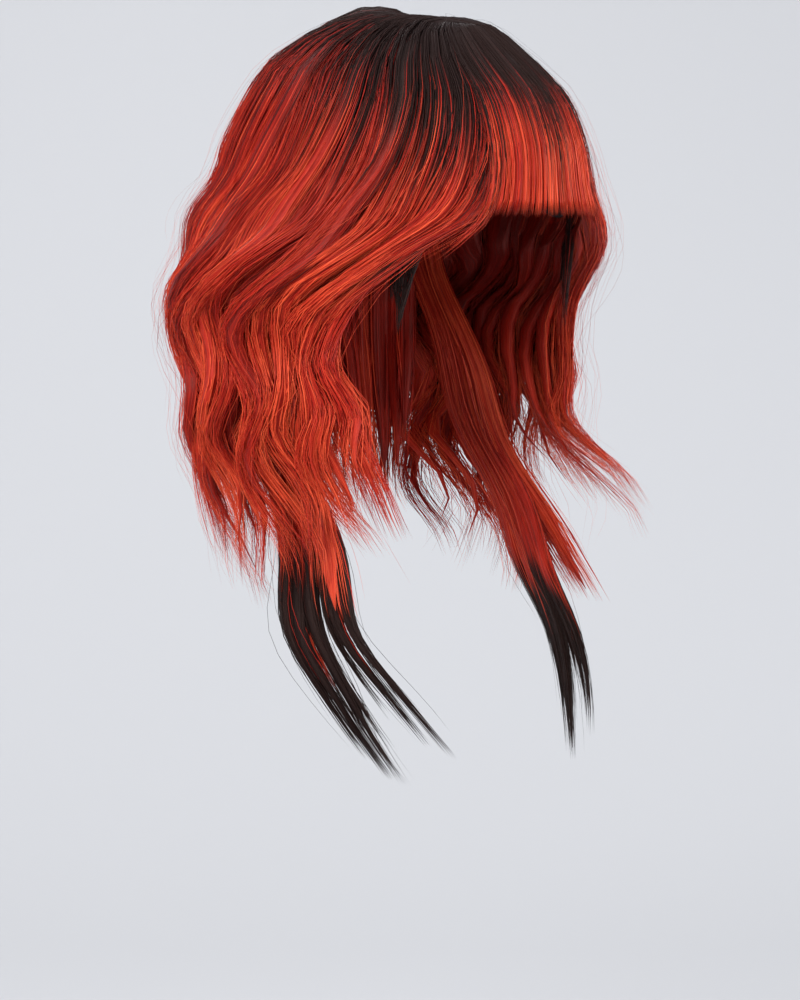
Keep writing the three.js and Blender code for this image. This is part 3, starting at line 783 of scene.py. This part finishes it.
# A waved piece from q low to high: under hair, bodies and strands of its locks, and stray hairs. The rows
# that lie deep have fewer steps along their strands
def wavePiece(name, low, high, side, seed, material):
    locks = waveLockTable(low, high, side, seed)
    reaches = cut[sideNames[side] + "Reach"]
    shown = locks["paintedShade"] == 0
    outerLocks, innerLocks = ({key: values[which] for key, values in locks.items()}
                              for which in (shown, ~shown))
    makePiece(name + "_hair", [
        underHair(low + 0.004, high - 0.004, lambda q: np.interp(q, cut["q"], reaches), side, seed + 1),
        lockBodies(locks, side, seed + 3), flyaways(low, high, side, seed + 4),
        lockStrands(outerLocks, side, seed + 2, 30, (0.505, 0.85)),
        lockStrands(innerLocks, side, seed + 5, 18, (0.855, 0.995)),
    ], material, [name])


fringe = {
    "locks": 13, "strands": 29, "steps": 18, "deep": 1.6, "uneven": 1.6, "early": (2, 16), "gaps": (0.74, 1.02),
    "width": (0.19, 0.4), "strayWidth": (0.08, 0.13), "sway": (0.1, 0.6), "straySway": (1.2, 3.4),
    "rootsBy": (-14, 16), "rootsSpread": 40, "tone": (0.46, 0.8), "red": 0.12, "redOver": (20, 110),
    "sweeps": 70, "sweepDrop": 30, "sweepWidth": (0.12, 0.26),
    "wall": (3.0, 9.0), "wallShort": 17, "wallGrid": (28, 52), "wallDark": (35, 90), "wallSpan": 170,
}


# The share of the levels at which the form has fallen this far
def levelOfDrop(drop):
    u = np.linspace(0.12, 1, 500)
    return np.interp(drop, -formAt(np.full(500, -1.0), u)[:, 2], u)


# Strands of the fringe on one side: from the parting down to the straight cut, where narrow locks leave
# thin gaps
def fringeStrands(side, seed):
    rng = np.random.default_rng(seed)
    share = rng.uniform(0.6, 1.4, fringe["locks"])
    own = np.repeat(np.arange(fringe["locks"]), np.round(fringe["strands"] * share).astype(int))
    middle, half = (values[own][:, None] for values in placesOf(share, -1, 0))
    draw = drawer(rng, len(own))

    def ownDraw(low, high):
        return rng.uniform(low, high, fringe["locks"])[own][:, None]

    t = np.linspace(0, 1, fringe["steps"])[None, :]
    level = levelOfDrop(hair["fringeDrop"])
    endDrop = hair["fringeDrop"] + fringe["uneven"] * (ownDraw(-0.5, 0.5) + draw(-0.8, 0.6))
    endDrop = endDrop - np.where(draw(0, 1) > 0.8, draw(*fringe["early"]), 0)
    u = mix(0.015, levelOfDrop(endDrop), t)
    angle, radius = np.radians(draw(-20, 200)), np.sqrt(draw(0.2, 1))
    low = smooth(u, 0.45 * level, level)
    span = half * mix(1.5, ownDraw(*fringe["gaps"]), low)
    stray = draw(0, 1) > 0.95
    amount = strayOr(stray, draw, fringe["straySway"], fringe["sway"]) * smooth(t, 0.1, 0.9)
    q = middle + span * radius * np.cos(angle)
    sway = amount * ripple(draw, 3, 8, t)
    deep = (fringe["deep"] * mix(0.7, 1.3, low) * (1 - radius * np.sin(angle)) + ownDraw(-0.3, 0.8)
            - np.abs(sway) * np.where(stray, 1.0, 0.2))
    points, outs = inHair(np.clip(q, -1.02, 0.02), u, deep, sway=sway)
    points[..., 0] = np.minimum(points[..., 0], np.where(q > -0.98, 2.0, 4.0))
    width = strayOr(stray, draw, fringe["strayWidth"], fringe["width"]) * taper(t, 0.6, 0.9, 0.12)
    run = lengthAlong(points)
    dark = rootDark(run, middle, ownDraw(*fringe["rootsBy"]), draw, fringe["rootsSpread"])
    tone = ownDraw(*fringe["tone"]) + draw(-0.17, 0.17)
    tone = tone * mix(fringe["red"], 1, smooth(run, *fringe["redOver"]))
    # painted shade: strands deeper in their lock are a little darker
    return strandPart(points, outs, width, tone, dark, 0.1 * (1 - radius * np.sin(angle)), side)


# Long strands at the outer edge of the fringe: they leave it near the cut and curve down and back
def sweepStrands(side, seed):
    rng = np.random.default_rng(seed)
    draw = drawer(rng, fringe["sweeps"])
    t = np.linspace(0, 1, fringe["steps"])[None, :]
    u = mix(0.015, levelOfDrop(hair["fringeDrop"] + fringe["sweepDrop"] * draw(-0.3, 1)), t)
    q = draw(-0.24, 0.03) + draw(0.0, 0.06) * t + 0.06 * t**3
    deep = draw(0.2, 2.6) - draw(0, 2.5) * t**4
    points, outs = inHair(q, u, deep, sway=draw(-1, 1) * np.sin(draw(2, 6) * t))
    width = draw(*fringe["sweepWidth"]) * taper(t, 0.3, 0.75, 0.12)
    dark = rootDark(lengthAlong(points), 0.0, 0.0, draw)
    return strandPart(points, outs, width, strandTone(0.5, draw), dark, 0.0, side, flyaway["block"])


# The wall of hair under the fringe, which ends above the cut so that light shows between the locks
def fringeWall(side):
    rows, cols = fringe["wallGrid"]
    q = np.linspace(-1.0, -0.01, cols)[None, :]
    t = np.linspace(0, 1, rows)[:, None]
    uneven = 7 * np.sin(q * 33) + 3 * np.sin(q * 71)
    u = mix(0.03, levelOfDrop(hair["fringeDrop"] - fringe["wallShort"] + uneven), t)
    top, low = fringe["wall"]
    tip = smooth(t, 0.7, 1)
    outer, _ = inHair(q + 0 * u, u, mix(top + 0.35 * np.sin(q * 150), top + 0.6, tip))
    inner, _ = inHair(q + 0 * u, u, mix(low + 0.4 * np.sin(q * 120), top + 1.0, tip))
    outer = clearOfHead(outer, hair["offHead"] + 0.8)
    part = wallBetween(outer * mirror(side), inner * mirror(side), (0.005, 0.2) if side > 0 else (0.21, 0.4),
                       fringe["wallSpan"])
    # painted shade: the wall under the fringe strands is a little darker
    return withNumbers(part, 0.5 + 0.15 * np.sin(q * 90), 1 - smooth(part["run"], *fringe["wallDark"]), 0.08)


tail = {
    "length": 420, "out": 101, "ahead": 60, "depth": 9, "halfWidth": 26, "steps": 24,
    # for each lock: place across above and at its tip, reach, half width and number of strands
    "locks": [[0.2, 0.42, 1.0, 0.36, 50], [0.66, 0.68, 0.985, 0.36, 50], [1.08, 0.86, 0.95, 0.3, 36],
              [0.3, 0.14, 0.93, 0.26, 24], [-0.3, -0.8, 0.92, 0.34, 38], [-0.62, -1.15, 0.94, 0.28, 30],
              [-0.1, -0.35, 0.88, 0.2, 16], [-0.8, -0.95, 0.87, 0.16, 14]],
    "redStreaks": [[0.55, 0.6, 0.84, 0.16, 22], [-0.5, -0.8, 0.8, 0.16, 16]],
    "rightFlare": [-0.75, -1.75, 0.7, 0.8, 26], "leftFlare": [-0.75, -1.75, 0.72, 0.8, 150], "flareOut": 21,
    "leftNarrow": 0.62, "leftBy": -0.35, "leftOut": 6,
    "wave": 5.0, "waveLength": 96, "narrow": 0.66, "flareNarrow": 0.2,
    "strays": 0.86, "width": (0.17, 0.36), "strayWidth": (0.1, 0.15),
    "sway": (0.0, 0.06), "straySway": (0.1, 0.4),
    "rightDarkFrom": 264, "leftDarkFrom": 290, "darkOver": 26, "darkSpread": 34, "redFurther": 90,
    "bodySteps": 40, "bodyAround": 14, "bodySize": 0.78, "bodyShorter": 0.97, "bodyGirth": 80,
}

# The course of a tail: fall, out and ahead as shares of its sizes, spread of its half width, facing in degrees
tailCourse = np.array([
    [0.278, 0.635, -1.08, 0.38, -44],
    [0.354, 0.68, -0.95, 0.42, -38],
    [0.446, 0.73, -0.73, 0.48, -28],
    [0.539, 0.81, -0.5, 0.6, -14],
    [0.631, 0.87, -0.22, 0.72, -2],
    [0.723, 0.91, 0.05, 0.84, 8],
    [0.815, 0.935, 0.32, 0.93, 14],
    [0.908, 0.82, 0.64, 1, 20],
    [1, 0.625, 1, 1, 28],
])


# A point of a tail: on its course at s, then across it by place half widths and in by deep
def inTail(s, place, deep):
    fall, out, ahead, spread, facing = np.moveaxis(blendRows(tailCourse, s), -1, 0)
    f = np.radians(facing)
    outward = columns(-np.cos(f), -np.sin(f), 0)
    across = columns(-np.sin(f), np.cos(f), 0)
    centre = columns(-tail["out"] * out, -tail["ahead"] * ahead, -tail["length"] * fall)
    moved = across * (tail["halfWidth"] * spread * place)[..., None] - outward * deep[..., None]
    return centre + moved, outward


# Where a tail's lock runs: from its upper place to that of its tip, waving less and less as it falls
def tailPlace(top, low, s, reach, turnBy):
    tip = smooth(s / reach, 0.45, 1)
    wave = tail["wave"] / tail["halfWidth"] * np.sin(2 * np.pi * s * 300 / tail["waveLength"] + turnBy)
    return mix(top, low, smooth(s, 0.6, 1)) + wave * (1 - 0.8 * smooth(s, 0.5, 0.95)), tip


# The bodies and the strands of a tail, in locks that come to points at different lengths: red above, and
# black below a height that differs from strand to strand. Strands of the flare stay red and turn outward
def tailParts(side, seed):
    rng = np.random.default_rng(seed)
    name = sideNames[side]
    table = np.array([*tail["locks"], *tail["redStreaks"], tail[name + "Flare"]])
    if side < 0:
        table[:-1, :2] = table[:-1, :2] * tail["leftNarrow"] + tail["leftBy"]
    count = len(table)
    redder = np.arange(count) >= len(tail["locks"])
    flares = np.arange(count) == count - 1
    turnBy, lowBy = rng.uniform(-0.7, 0.7, count), rng.uniform(-14, 10, count)
    further = tail["leftOut"] * (side < 0)

    own = np.repeat(np.arange(count), table[:, 4].astype(int))
    top, low, reach, half = (table[own, k][:, None] for k in range(4))
    turned = flares[own][:, None]
    draw = drawer(rng, len(own))
    t = np.linspace(0, 1, tail["steps"])[None, :]
    s = t * reach * (1 - 0.2 * draw(0, 1)**2)
    place, tip = tailPlace(top, low, s, reach, turnBy[own][:, None])
    angle, radius = np.radians(draw(0, 360)), np.sqrt(draw(0.05, 1.1))
    stray = draw(0, 1) > tail["strays"]
    amount = strayOr(stray, draw, tail["straySway"], tail["sway"]) * smooth(t, 0.1, 0.8)
    narrow = 1 - np.where(turned, tail["flareNarrow"], tail["narrow"]) * tip
    place = place + half * radius * np.cos(angle) * narrow + amount * ripple(draw, 3, 9, t)
    deep = (tail["depth"] / 2 * (1 - radius * np.sin(angle) * (1 - 0.6 * tip))
            - 14 * amount * ripple(draw, 3, 8, t)
            - turned * tail["flareOut"] * draw(0.7, 1.1) * tip**2 - further * smooth(s, 0.5, 0.8))
    points, outs = inTail(s, place, deep)
    width = strayOr(stray, draw, tail["strayWidth"], tail["width"]) * taper(t, 0.5, 0.8)
    darkFrom = (tail[name + "DarkFrom"] + lowBy[own][:, None] + tail["darkSpread"] * draw(0, 1)
                + tail["redFurther"] * redder[own][:, None])
    dark = smooth(-points[..., 2], darkFrom, darkFrom + tail["darkOver"] * draw(0.7, 1.5))
    # painted shade: strands deeper in their lock, and the upper tail under the waves, are darker
    paintedShade = (0.2 * (1 - radius * np.sin(angle)) + 0.12) * (1 - smooth(s, 0.35, 0.66))
    tone = strandTone(np.where(turned, 0.75, 0.52), draw)
    strands = strandPart(points, outs, width, tone, dark, paintedShade, side)

    solid = np.flatnonzero(~redder | flares)
    top, low, reach, half = (table[solid, k][:, None, None] for k in range(4))
    turned = flares[solid][:, None, None]
    t = np.linspace(0, 1, tail["bodySteps"])[None, :, None]
    s = mix(0.01, tail["bodyShorter"] * reach, t)
    place, tip = tailPlace(top, low, s, reach, turnBy[solid][:, None, None])
    angle = ringAngles(tail["bodyAround"], np.pi / 2)
    ridge = 1 + 0.08 * np.sin(4 * angle + 3 * s + solid[:, None, None])
    size = tail["bodySize"] * ridge * pointed(t, -0.01, 0.04, 0.7)
    deep = (tail["depth"] / 2 * (1 + 0.9 * size * np.sin(angle)) - turned * 0.9 * tail["flareOut"] * tip**2
            - further * smooth(s, 0.5, 0.8))
    points, _ = inTail(s, place + half * size * np.cos(angle) * (1 - np.where(turned, 0.3, 0.6) * tip), deep)
    body = closedTubes(points * mirror(side), (0.165, 0.5), tail["bodyGirth"])
    darkFrom = tail[name + "DarkFrom"] + lowBy[solid][:, None, None] + 8 + tail["redFurther"] * turned
    dark = smooth(-points[..., 2], darkFrom, darkFrom + 1.3 * tail["darkOver"])
    # painted shade on the bodies, most over the upper tail
    return [withNumbers(body, 0.4 + 0.2 * turned, dark, 0.1 + 0.3 * (1 - smooth(s, 0.35, 0.66))), strands]


nape = {
    "length": 300, "stand": 9, "depth": 8, "locks": 17, "spread": 49, "strands": 17, "steps": 18,
    "lockRanges": ((0.82, 1.0), (2.2, 4.6), (0.15, 0.5)),  # reach, half width in degrees and tone
    "width": (0.16, 0.36), "dark": 0.85, "paintedShade": 0.4, "bodySteps": 26, "bodyAround": 12, "bodyGirth": 54,
}


# A point that hangs off the hollow at an azimuth from the front: on its ellipse, drawn in with the square of
# the drop below its widest level as far as the lowest, and further out by stand
def hanging(drop, azimuth, stand, lowest):
    below = np.maximum(np.minimum(drop, lowest) - head["crown"], 0) / head["crown"]
    share = 1 - head["taper"] * below**2
    points = columns(-(head["halfWidth"] + stand) * share * np.sin(azimuth),
                     -(head["halfDepth"] + stand) * share * np.cos(azimuth), -drop)
    return points, unit(columns(points[..., 0], points[..., 1], 0))


# The bodies and the strands of the nape hair: locks leave the cap's edge and hang nearly straight
def napeParts(seed):
    rng = np.random.default_rng(seed)
    number = nape["locks"]
    turns = np.linspace(-nape["spread"], nape["spread"], number) + rng.uniform(-2.2, 2.2, number)
    reaches, broad, tones = (rng.uniform(low, high, number) for low, high in nape["lockRanges"])

    own = np.repeat(np.arange(number), nape["strands"])
    draw = drawer(rng, len(own))
    t = np.linspace(0, 1, nape["steps"])[None, :]
    drop = mix(head["nape"] * 0.84, nape["length"] * reaches[own][:, None] * (1 - 0.24 * draw(0, 1)**2), t)
    azimuth = np.radians(180 + turns[own][:, None] + draw(-4.5, 4.5) * (1 - 0.6 * smooth(t, 0.6, 1)))
    stand = (nape["stand"] * (1 - 2.2 * smooth(t, 0.33, 1)) - nape["depth"] * draw(0.02, 0.9)
             + draw(-1.4, 1.4) * np.sin(draw(3, 8) * t))
    points, outs = hanging(drop, azimuth, stand, head["nape"])
    width = draw(*nape["width"]) * taper(t, 0.3, 0.7)
    low = 190 + 90 * draw(0, 1)
    # painted shade: all the nape strands are darkened, as hair under the wig
    strands = strandPart(points, outs, width, strandTone(tones[own][:, None], draw),
                         nape["dark"] * smooth(drop, low, low + 60), nape["paintedShade"], 1)

    turns, reaches, broad, tones = (values[:, None, None] for values in (turns, reaches, broad, tones))
    t = np.linspace(0, 1, nape["bodySteps"])[None, :, None]
    drop = mix(head["nape"] * 0.85, nape["length"] * reaches * 0.93, t)
    angle = ringAngles(nape["bodyAround"], np.pi / 2)
    size = pointed(t, -0.02, 0.06, 0.5)
    azimuth = np.radians(180 + turns + broad * size * np.cos(angle))
    stand = nape["stand"] * (1 - 2.2 * smooth(t, 0.33, 1)) - nape["depth"] * (0.5 + 0.3 * size * np.sin(angle))
    body = closedTubes(hanging(drop, azimuth, stand, head["nape"])[0], (0.165, 0.5), nape["bodyGirth"])
    # painted shade: the nape bodies are darkened a little more than their strands
    return [withNumbers(body, tones, nape["dark"] * smooth(drop, 210, 290), nape["paintedShade"] + 0.1), strands]


wisp = {
    "length": 172, "halfWidth": 9.5, "top": 88, "strands": 150, "steps": 16, "lowest": 108,
    "tips": [-0.5, 0.15, 0.6], "reach": [0.84, 1.0, 0.9], "azimuth": (57, 61),
    "stand": 6.4, "thick": (0.2, 3.6), "width": (0.17, 0.32),
}


# Strands of a side's wisp: one lock above, three points below, nearly all black
def wispStrands(side, seed):
    rng = np.random.default_rng(seed)
    draw = drawer(rng, wisp["strands"])
    own = rng.integers(0, len(wisp["tips"]), wisp["strands"])[:, None]
    t = np.linspace(0, 1, wisp["steps"])[None, :]
    drop = mix(wisp["top"], wisp["length"] * np.array(wisp["reach"])[own] * (1 - 0.2 * draw(0, 1)**2), t)
    across = mix(1.25 * draw(-1, 1), np.array(wisp["tips"])[own] + draw(-0.08, 0.08), smooth(t, 0.25, 1))
    across = across + draw(-0.16, 0.16) * np.sin(draw(3, 7) * t)
    stand = wisp["stand"] - draw(*wisp["thick"])
    points, outs = hanging(drop, np.radians(mix(*wisp["azimuth"], t)), stand, wisp["lowest"])
    points = points + np.cross(outs, [0, 0, 1.0]) * (wisp["halfWidth"] * across)[..., None]
    width = draw(*wisp["width"]) * taper(t, 0.3, 0.75)
    return strandPart(points, outs, width, 0.3, np.where(draw(0, 1) > 0.9, 0.5, 1.0), 0.0, side)


cap = {
    "wall": 1.6, "gap": 0.55, "hem": 6.0, "hemThick": 0.5, "wefts": 9.0, "weftWide": 1.3, "weftHigh": 0.5,
    # drop of the cap's edge at azimuths from the front, in degrees
    "edgeAt": [0, 30, 62, 90, 120, 150, 180], "edge": [56, 67.4, 108, 92, 116.3, 142.2, 146],
    "around": 120, "rings": 34, "dark": (0.006, 0.005, 0.005), "light": (0.045, 0.036, 0.036),
}


# A point `grow` outside the cap's hollow, at an azimuth from the front and a drop below the crown
def onHead(azimuth, drop, grow):
    above = (head["crown"] - drop) / head["crown"]
    share = np.where(above > 0, np.sqrt(np.clip(1 - above**2, 0, 1)), 1 - head["taper"] * above**2)
    height = np.where(above > 0, (head["crown"] + grow) * above - head["crown"], -drop)
    return columns(-(head["halfWidth"] + grow) * share * np.sin(azimuth),
                   -(head["halfDepth"] + grow) * share * np.cos(azimuth), height)


# The cap's drop and its run at a share of the way from the crown to its edge, which swings between the
# drops of the table with a soft S
def capDrop(azimuth, share):
    places, edges, crown = np.array(cap["edgeAt"]), np.array(cap["edge"]), head["crown"]
    degrees = np.abs(np.degrees(azimuth))
    k = np.clip(np.searchsorted(places, degrees) - 1, 0, len(edges) - 2)
    along = (degrees - places[k]) / (places[k + 1] - places[k])
    edge = mix(edges[k], edges[k + 1], smooth(along, 0, 1))
    turn = share * np.where(edge < crown, np.arccos(np.clip(1 - edge / crown, -1, 1)),
                            np.pi / 2 + (edge - crown) / crown)
    return crown * np.where(turn < np.pi / 2, 1 - np.cos(turn), 1 + turn - np.pi / 2), turn * crown


# The cap's net: one closed skin from the crown's pole outside, round the hem and back to the pole inside,
# with a ridge for each row of sewn weft and a thicker hem
def capPart():
    azimuth = np.linspace(-np.pi, np.pi, cap["around"] + 1)[:-1][None, :]
    drop, run = capDrop(azimuth, np.linspace(0.004, 1, cap["rings"])[:, None])
    hem = 1 - smooth(run[-1:] - run, cap["hem"] - 1, cap["hem"])
    fromRow = np.mod(run, cap["wefts"]) - cap["wefts"] / 2
    weft = np.exp(-(fromRow / cap["weftWide"])**2) * (1 - hem) * smooth(run, 14, 20)
    gather = 0.12 * np.sin(azimuth * 90) * hem
    outer = onHead(azimuth, drop, cap["wall"] + cap["hemThick"] * hem + gather + 0.25 * weft)
    inner = onHead(azimuth, drop, cap["gap"] - cap["weftHigh"] * weft - 0.3 * hem)
    rings = np.concatenate([outer, inner[::-1]])
    count, around = rings.shape[:2]
    quads, rowOf, colOf = ringQuads(count, around)
    k = np.arange(around)
    poles, last = count * around + 0 * k, (count - 1) * around
    fans = np.concatenate([np.stack([poles, (k + 1) % around, k], -1),
                           np.stack([poles + 1, last + k, last + (k + 1) % around], -1)])
    down, along = np.linspace(0.01, 0.99, count), np.linspace(0.01, 0.99, around + 1)
    uvFans = columns(along[np.stack([k, k + 1, k], -1)], np.array([[[0.002]], [[0.998]]]))
    allRun = np.concatenate([run, run[::-1]])
    flow = columns(azimuth * head["halfDepth"], allRun, 0.0).reshape(-1, 3)
    part = {"points": np.concatenate([rings.reshape(-1, 3), [[0, 0, cap["wall"]], [0, 0, cap["gap"]]]]),
            "quads": quads, "tris": fans, "uvQuads": columns(along[colOf], down[rowOf]),
            "uvTris": uvFans.reshape(-1, 3, 2), "flow": np.concatenate([flow, np.zeros((2, 3))])}
    for key, values in (("hem", hem), ("weft", weft)):
        part[key] = np.concatenate([values.ravel(), values[::-1].ravel(), [0, 0]])
    return outwards(part)


# Cap fabric: a fine net of round meshes over most of it, sewn weft rows of hair ends and a ribbed hem
def capFabric(tree):
    flow = attribute(tree, "flow", "Vector")
    net = addNode(tree, "TexVoronoi", {"Vector": flow, "Scale": 0.85, "Randomness": 0.12}, "Distance",
                  feature="DISTANCE_TO_EDGE", voronoi_dimensions="2D")
    ribs = addNode(tree, "TexWave", {"Vector": flow, "Scale": 0.5, "Distortion": 0.6, "Detail": 2}, "Fac",
                   bands_direction="X")
    solid = addNode(tree, "Math", {0: attribute(tree, "hem"), 1: attribute(tree, "weft")}, operation="MAXIMUM")
    pattern = addNode(tree, "Mix", {"Factor": solid, "A": ranged(tree, net, 0.06, 0.2, 1.0, 0.0), "B": ribs},
                      "Result", data_type="FLOAT")
    bump = addNode(tree, "Bump", {"Height": pattern, "Strength": 0.8, "Distance": 0.0004}, "Normal")
    return {"Base Color": ramp(tree, pattern, (cap["dark"], cap["light"])), "Normal": bump, "Roughness": 0.85,
            "Specular IOR Level": 0.25}


scalp = {
    "length": 66, "width": 13, "thick": 1.3, "centre": -8, "gap": 1.95, "grid": (90, 22),
    "dark": (0.014, 0.011, 0.011), "light": (0.085, 0.066, 0.064),
}


# The scalp strip: a band that follows the cap under the parting, with soft edges and a low crown, and
# rows of knots where hair is tied in
def scalpPart():
    rows, cols = scalp["grid"]
    across, along = np.linspace(-1, 1, cols)[None, :], np.linspace(-1, 1, rows)[:, None]
    x = scalp["width"] / 2 * across + 0 * along
    y = scalp["centre"] - scalp["length"] / 2 * along + 0 * across

    def over(height):
        share = 1 - (x / (head["halfWidth"] + height))**2 - (y / (head["halfDepth"] + height))**2
        return columns(x, y, (head["crown"] + height) * np.sqrt(share) - head["crown"])

    edge = np.maximum(smooth(np.abs(across), 0.86, 1), smooth(np.abs(along), 0.97, 1))
    knots = 0.12 * np.maximum(0, np.sin(x * 4.2) * np.sin(y * 4.2))
    outer = over(scalp["gap"] + scalp["thick"] * (1 - 0.5 * edge) - 0.15 + knots)
    part = wallBetween(outer, over(scalp["gap"] + 0 * x), (0.01, 0.99), scalp["width"])
    part["hem"] = part["spread"](edge)
    return part


# Scalp strip: dark skin-like silk with a fine weave and darker knots in rows
def scalpSilk(tree):
    place = addNode(tree, "TexCoord", {}, "Object")
    knots = addNode(tree, "TexVoronoi", {"Vector": place, "Scale": 700, "Randomness": 0.35}, "Distance")
    weave = addNode(tree, "TexNoise", {"Vector": place, "Scale": 2400, "Detail": 2})
    mixed = scaled(tree, weave, 0.3, ranged(tree, knots, 0.12, 0.34))
    bound = addNode(tree, "Math", {0: mixed, 1: attribute(tree, "hem")}, operation="SUBTRACT")
    bump = addNode(tree, "Bump", {"Height": bound, "Strength": 0.5, "Distance": 0.0003}, "Normal")
    return {"Base Color": ramp(tree, bound, (scalp["dark"], scalp["light"])), "Normal": bump, "Roughness": 0.7,
            "Specular IOR Level": 0.25}


redHair = newMaterial("redHair", hairFibre)
for side, seed in ((1, 100), (-1, 200)):
    name = sideNames[side]
    wavePiece(f"front_waves_{name}", 0, 0.45, side, seed, redHair)
    wavePiece(f"back_waves_{name}", 0.45, 1, side, seed + 10, redHair)
    makePiece(f"tail_{name}_hair", tailParts(side, seed + 20), redHair, [f"tail_{name}"])
    makePiece(f"wisp_{name}_hair", [wispStrands(side, seed + 30)], redHair, [f"wisp_{name}"])
fringeParts = [fringeWall(1), fringeWall(-1)]
for side, seed in ((1, 310), (-1, 320)):
    fringeParts += [fringeStrands(side, seed), sweepStrands(side, seed)]
makePiece("bangs_hair", fringeParts, redHair, ["bangs"])
makePiece("nape_strands", napeParts(330), redHair, ["nape_hair"])
capNet, silk = newMaterial("capNet", capFabric), newMaterial("scalpSilk", scalpSilk)
makePiece("cap_net", [capPart()], capNet, ["wig_cap"], ("hem", "weft"))
makePiece("scalp_silk", [scalpPart()], silk, ["scalp_strip"], ("hem",))


stage = {
    "floor": -0.8, "radius": 1.4, "halfWide": 7.2, "back": 1.2, "near": -6, "high": 5,
    "colour": (0.505, 0.509, 0.522, 1),
}
view = {"azimuth": -48, "elevation": 5, "distance": 1.9, "lens": 119.8, "aside": -0.0114, "height": -0.2686}

# Azimuth and elevation in degrees, distance and width in metres, and power of each light
lights = {
    "keyLight": (-78, 36, 2.4, 1.4, 46),
    "fillLight": (5, 18, 2.6, 1.8, 20),
    "topLight": (-120, 75, 2.2, 1.2, 8),
    "backLight": (150, 35, 2.6, 1.5, 14),
    "sideLight": (40, 6, 2.4, 1.4, 31),
}
sky = {"Color": (0.86, 0.88, 0.93, 1), "Strength": 0.95}


# The way out from the middle at an azimuth from the front and an elevation
def wayOut(azimuth, elevation):
    a, e = np.radians(azimuth), np.radians(elevation)
    return np.array([np.sin(a) * np.cos(e), -np.cos(a) * np.cos(e), np.sin(e)])


# Puts a light or camera at a distance from a middle along a way out, looking back at it
def lookIn(name, data, middle, way, distance):
    made = addObject(name, data)
    made.location = np.array(middle) + way * distance
    made.rotation_euler = Vector(-way).to_track_quat("-Z", "Y").to_euler()
    return made


# Floor and backdrop as one sheet: flat, then a quarter round, then upright, carried across
def backdrop():
    a = np.radians(view["azimuth"])
    back, right = np.array([-np.sin(a), np.cos(a)]), np.array([np.cos(a), np.sin(a)])
    turn = np.radians(np.linspace(0, 90, 17))
    upright = stage["back"] + stage["radius"]
    run = np.concatenate([[stage["near"]], stage["back"] + stage["radius"] * np.sin(turn), [upright]])
    rise = np.concatenate([[0], stage["radius"] * (1 - np.cos(turn)), [stage["high"]]])
    across = np.linspace(-stage["halfWide"], stage["halfWide"], 9)
    grid = np.zeros((len(run), len(across), 3))
    grid[..., :2] = run[:, None, None] * back + across[None, :, None] * right
    grid[..., 2] = stage["floor"] + rise[:, None]
    i, j = np.meshgrid(np.arange(len(run) - 1), np.arange(len(across) - 1), indexing="ij")
    a = (i * len(across) + j).ravel()
    faces = np.stack([a, a + 1, a + 1 + len(across), a + len(across)], -1)
    mesh = bpy.data.meshes.new("backdrop")
    mesh.from_pydata(grid.reshape(-1, 3).tolist(), [], faces.tolist())
    mesh.polygons.foreach_set("use_smooth", np.ones(len(faces), bool))
    paper = {"Base Color": stage["colour"], "Roughness": 0.9}
    mesh.materials.append(newMaterial("backdropPaper", lambda tree: paper))
    addObject("backdrop", mesh)


backdrop()
for name, (azimuth, elevation, distance, size, power) in lights.items():
    lamp = bpy.data.lights.new(name, "AREA")
    lamp.shape, lamp.size, lamp.energy = "DISK", size, power
    lookIn(name, lamp, (0, 0, -0.2), wayOut(azimuth, elevation), distance)

world = bpy.data.worlds.new("studio")
world.use_nodes = True
setInputs(world.node_tree, world.node_tree.nodes["Background"], sky)
bpy.context.scene.world = world
bpy.context.scene.view_settings.view_transform = "Standard"

camera = bpy.data.cameras.new("camera")
camera.sensor_fit = "VERTICAL"
camera.sensor_height = 36
camera.lens = view["lens"]
turned = np.radians(view["azimuth"])
target = np.array([np.cos(turned) * view["aside"], np.sin(turned) * view["aside"], view["height"]])
bpy.context.scene.camera = lookIn("camera", camera, target, wayOut(view["azimuth"], view["elevation"]),
                                  view["distance"])
print("camera and lights done")
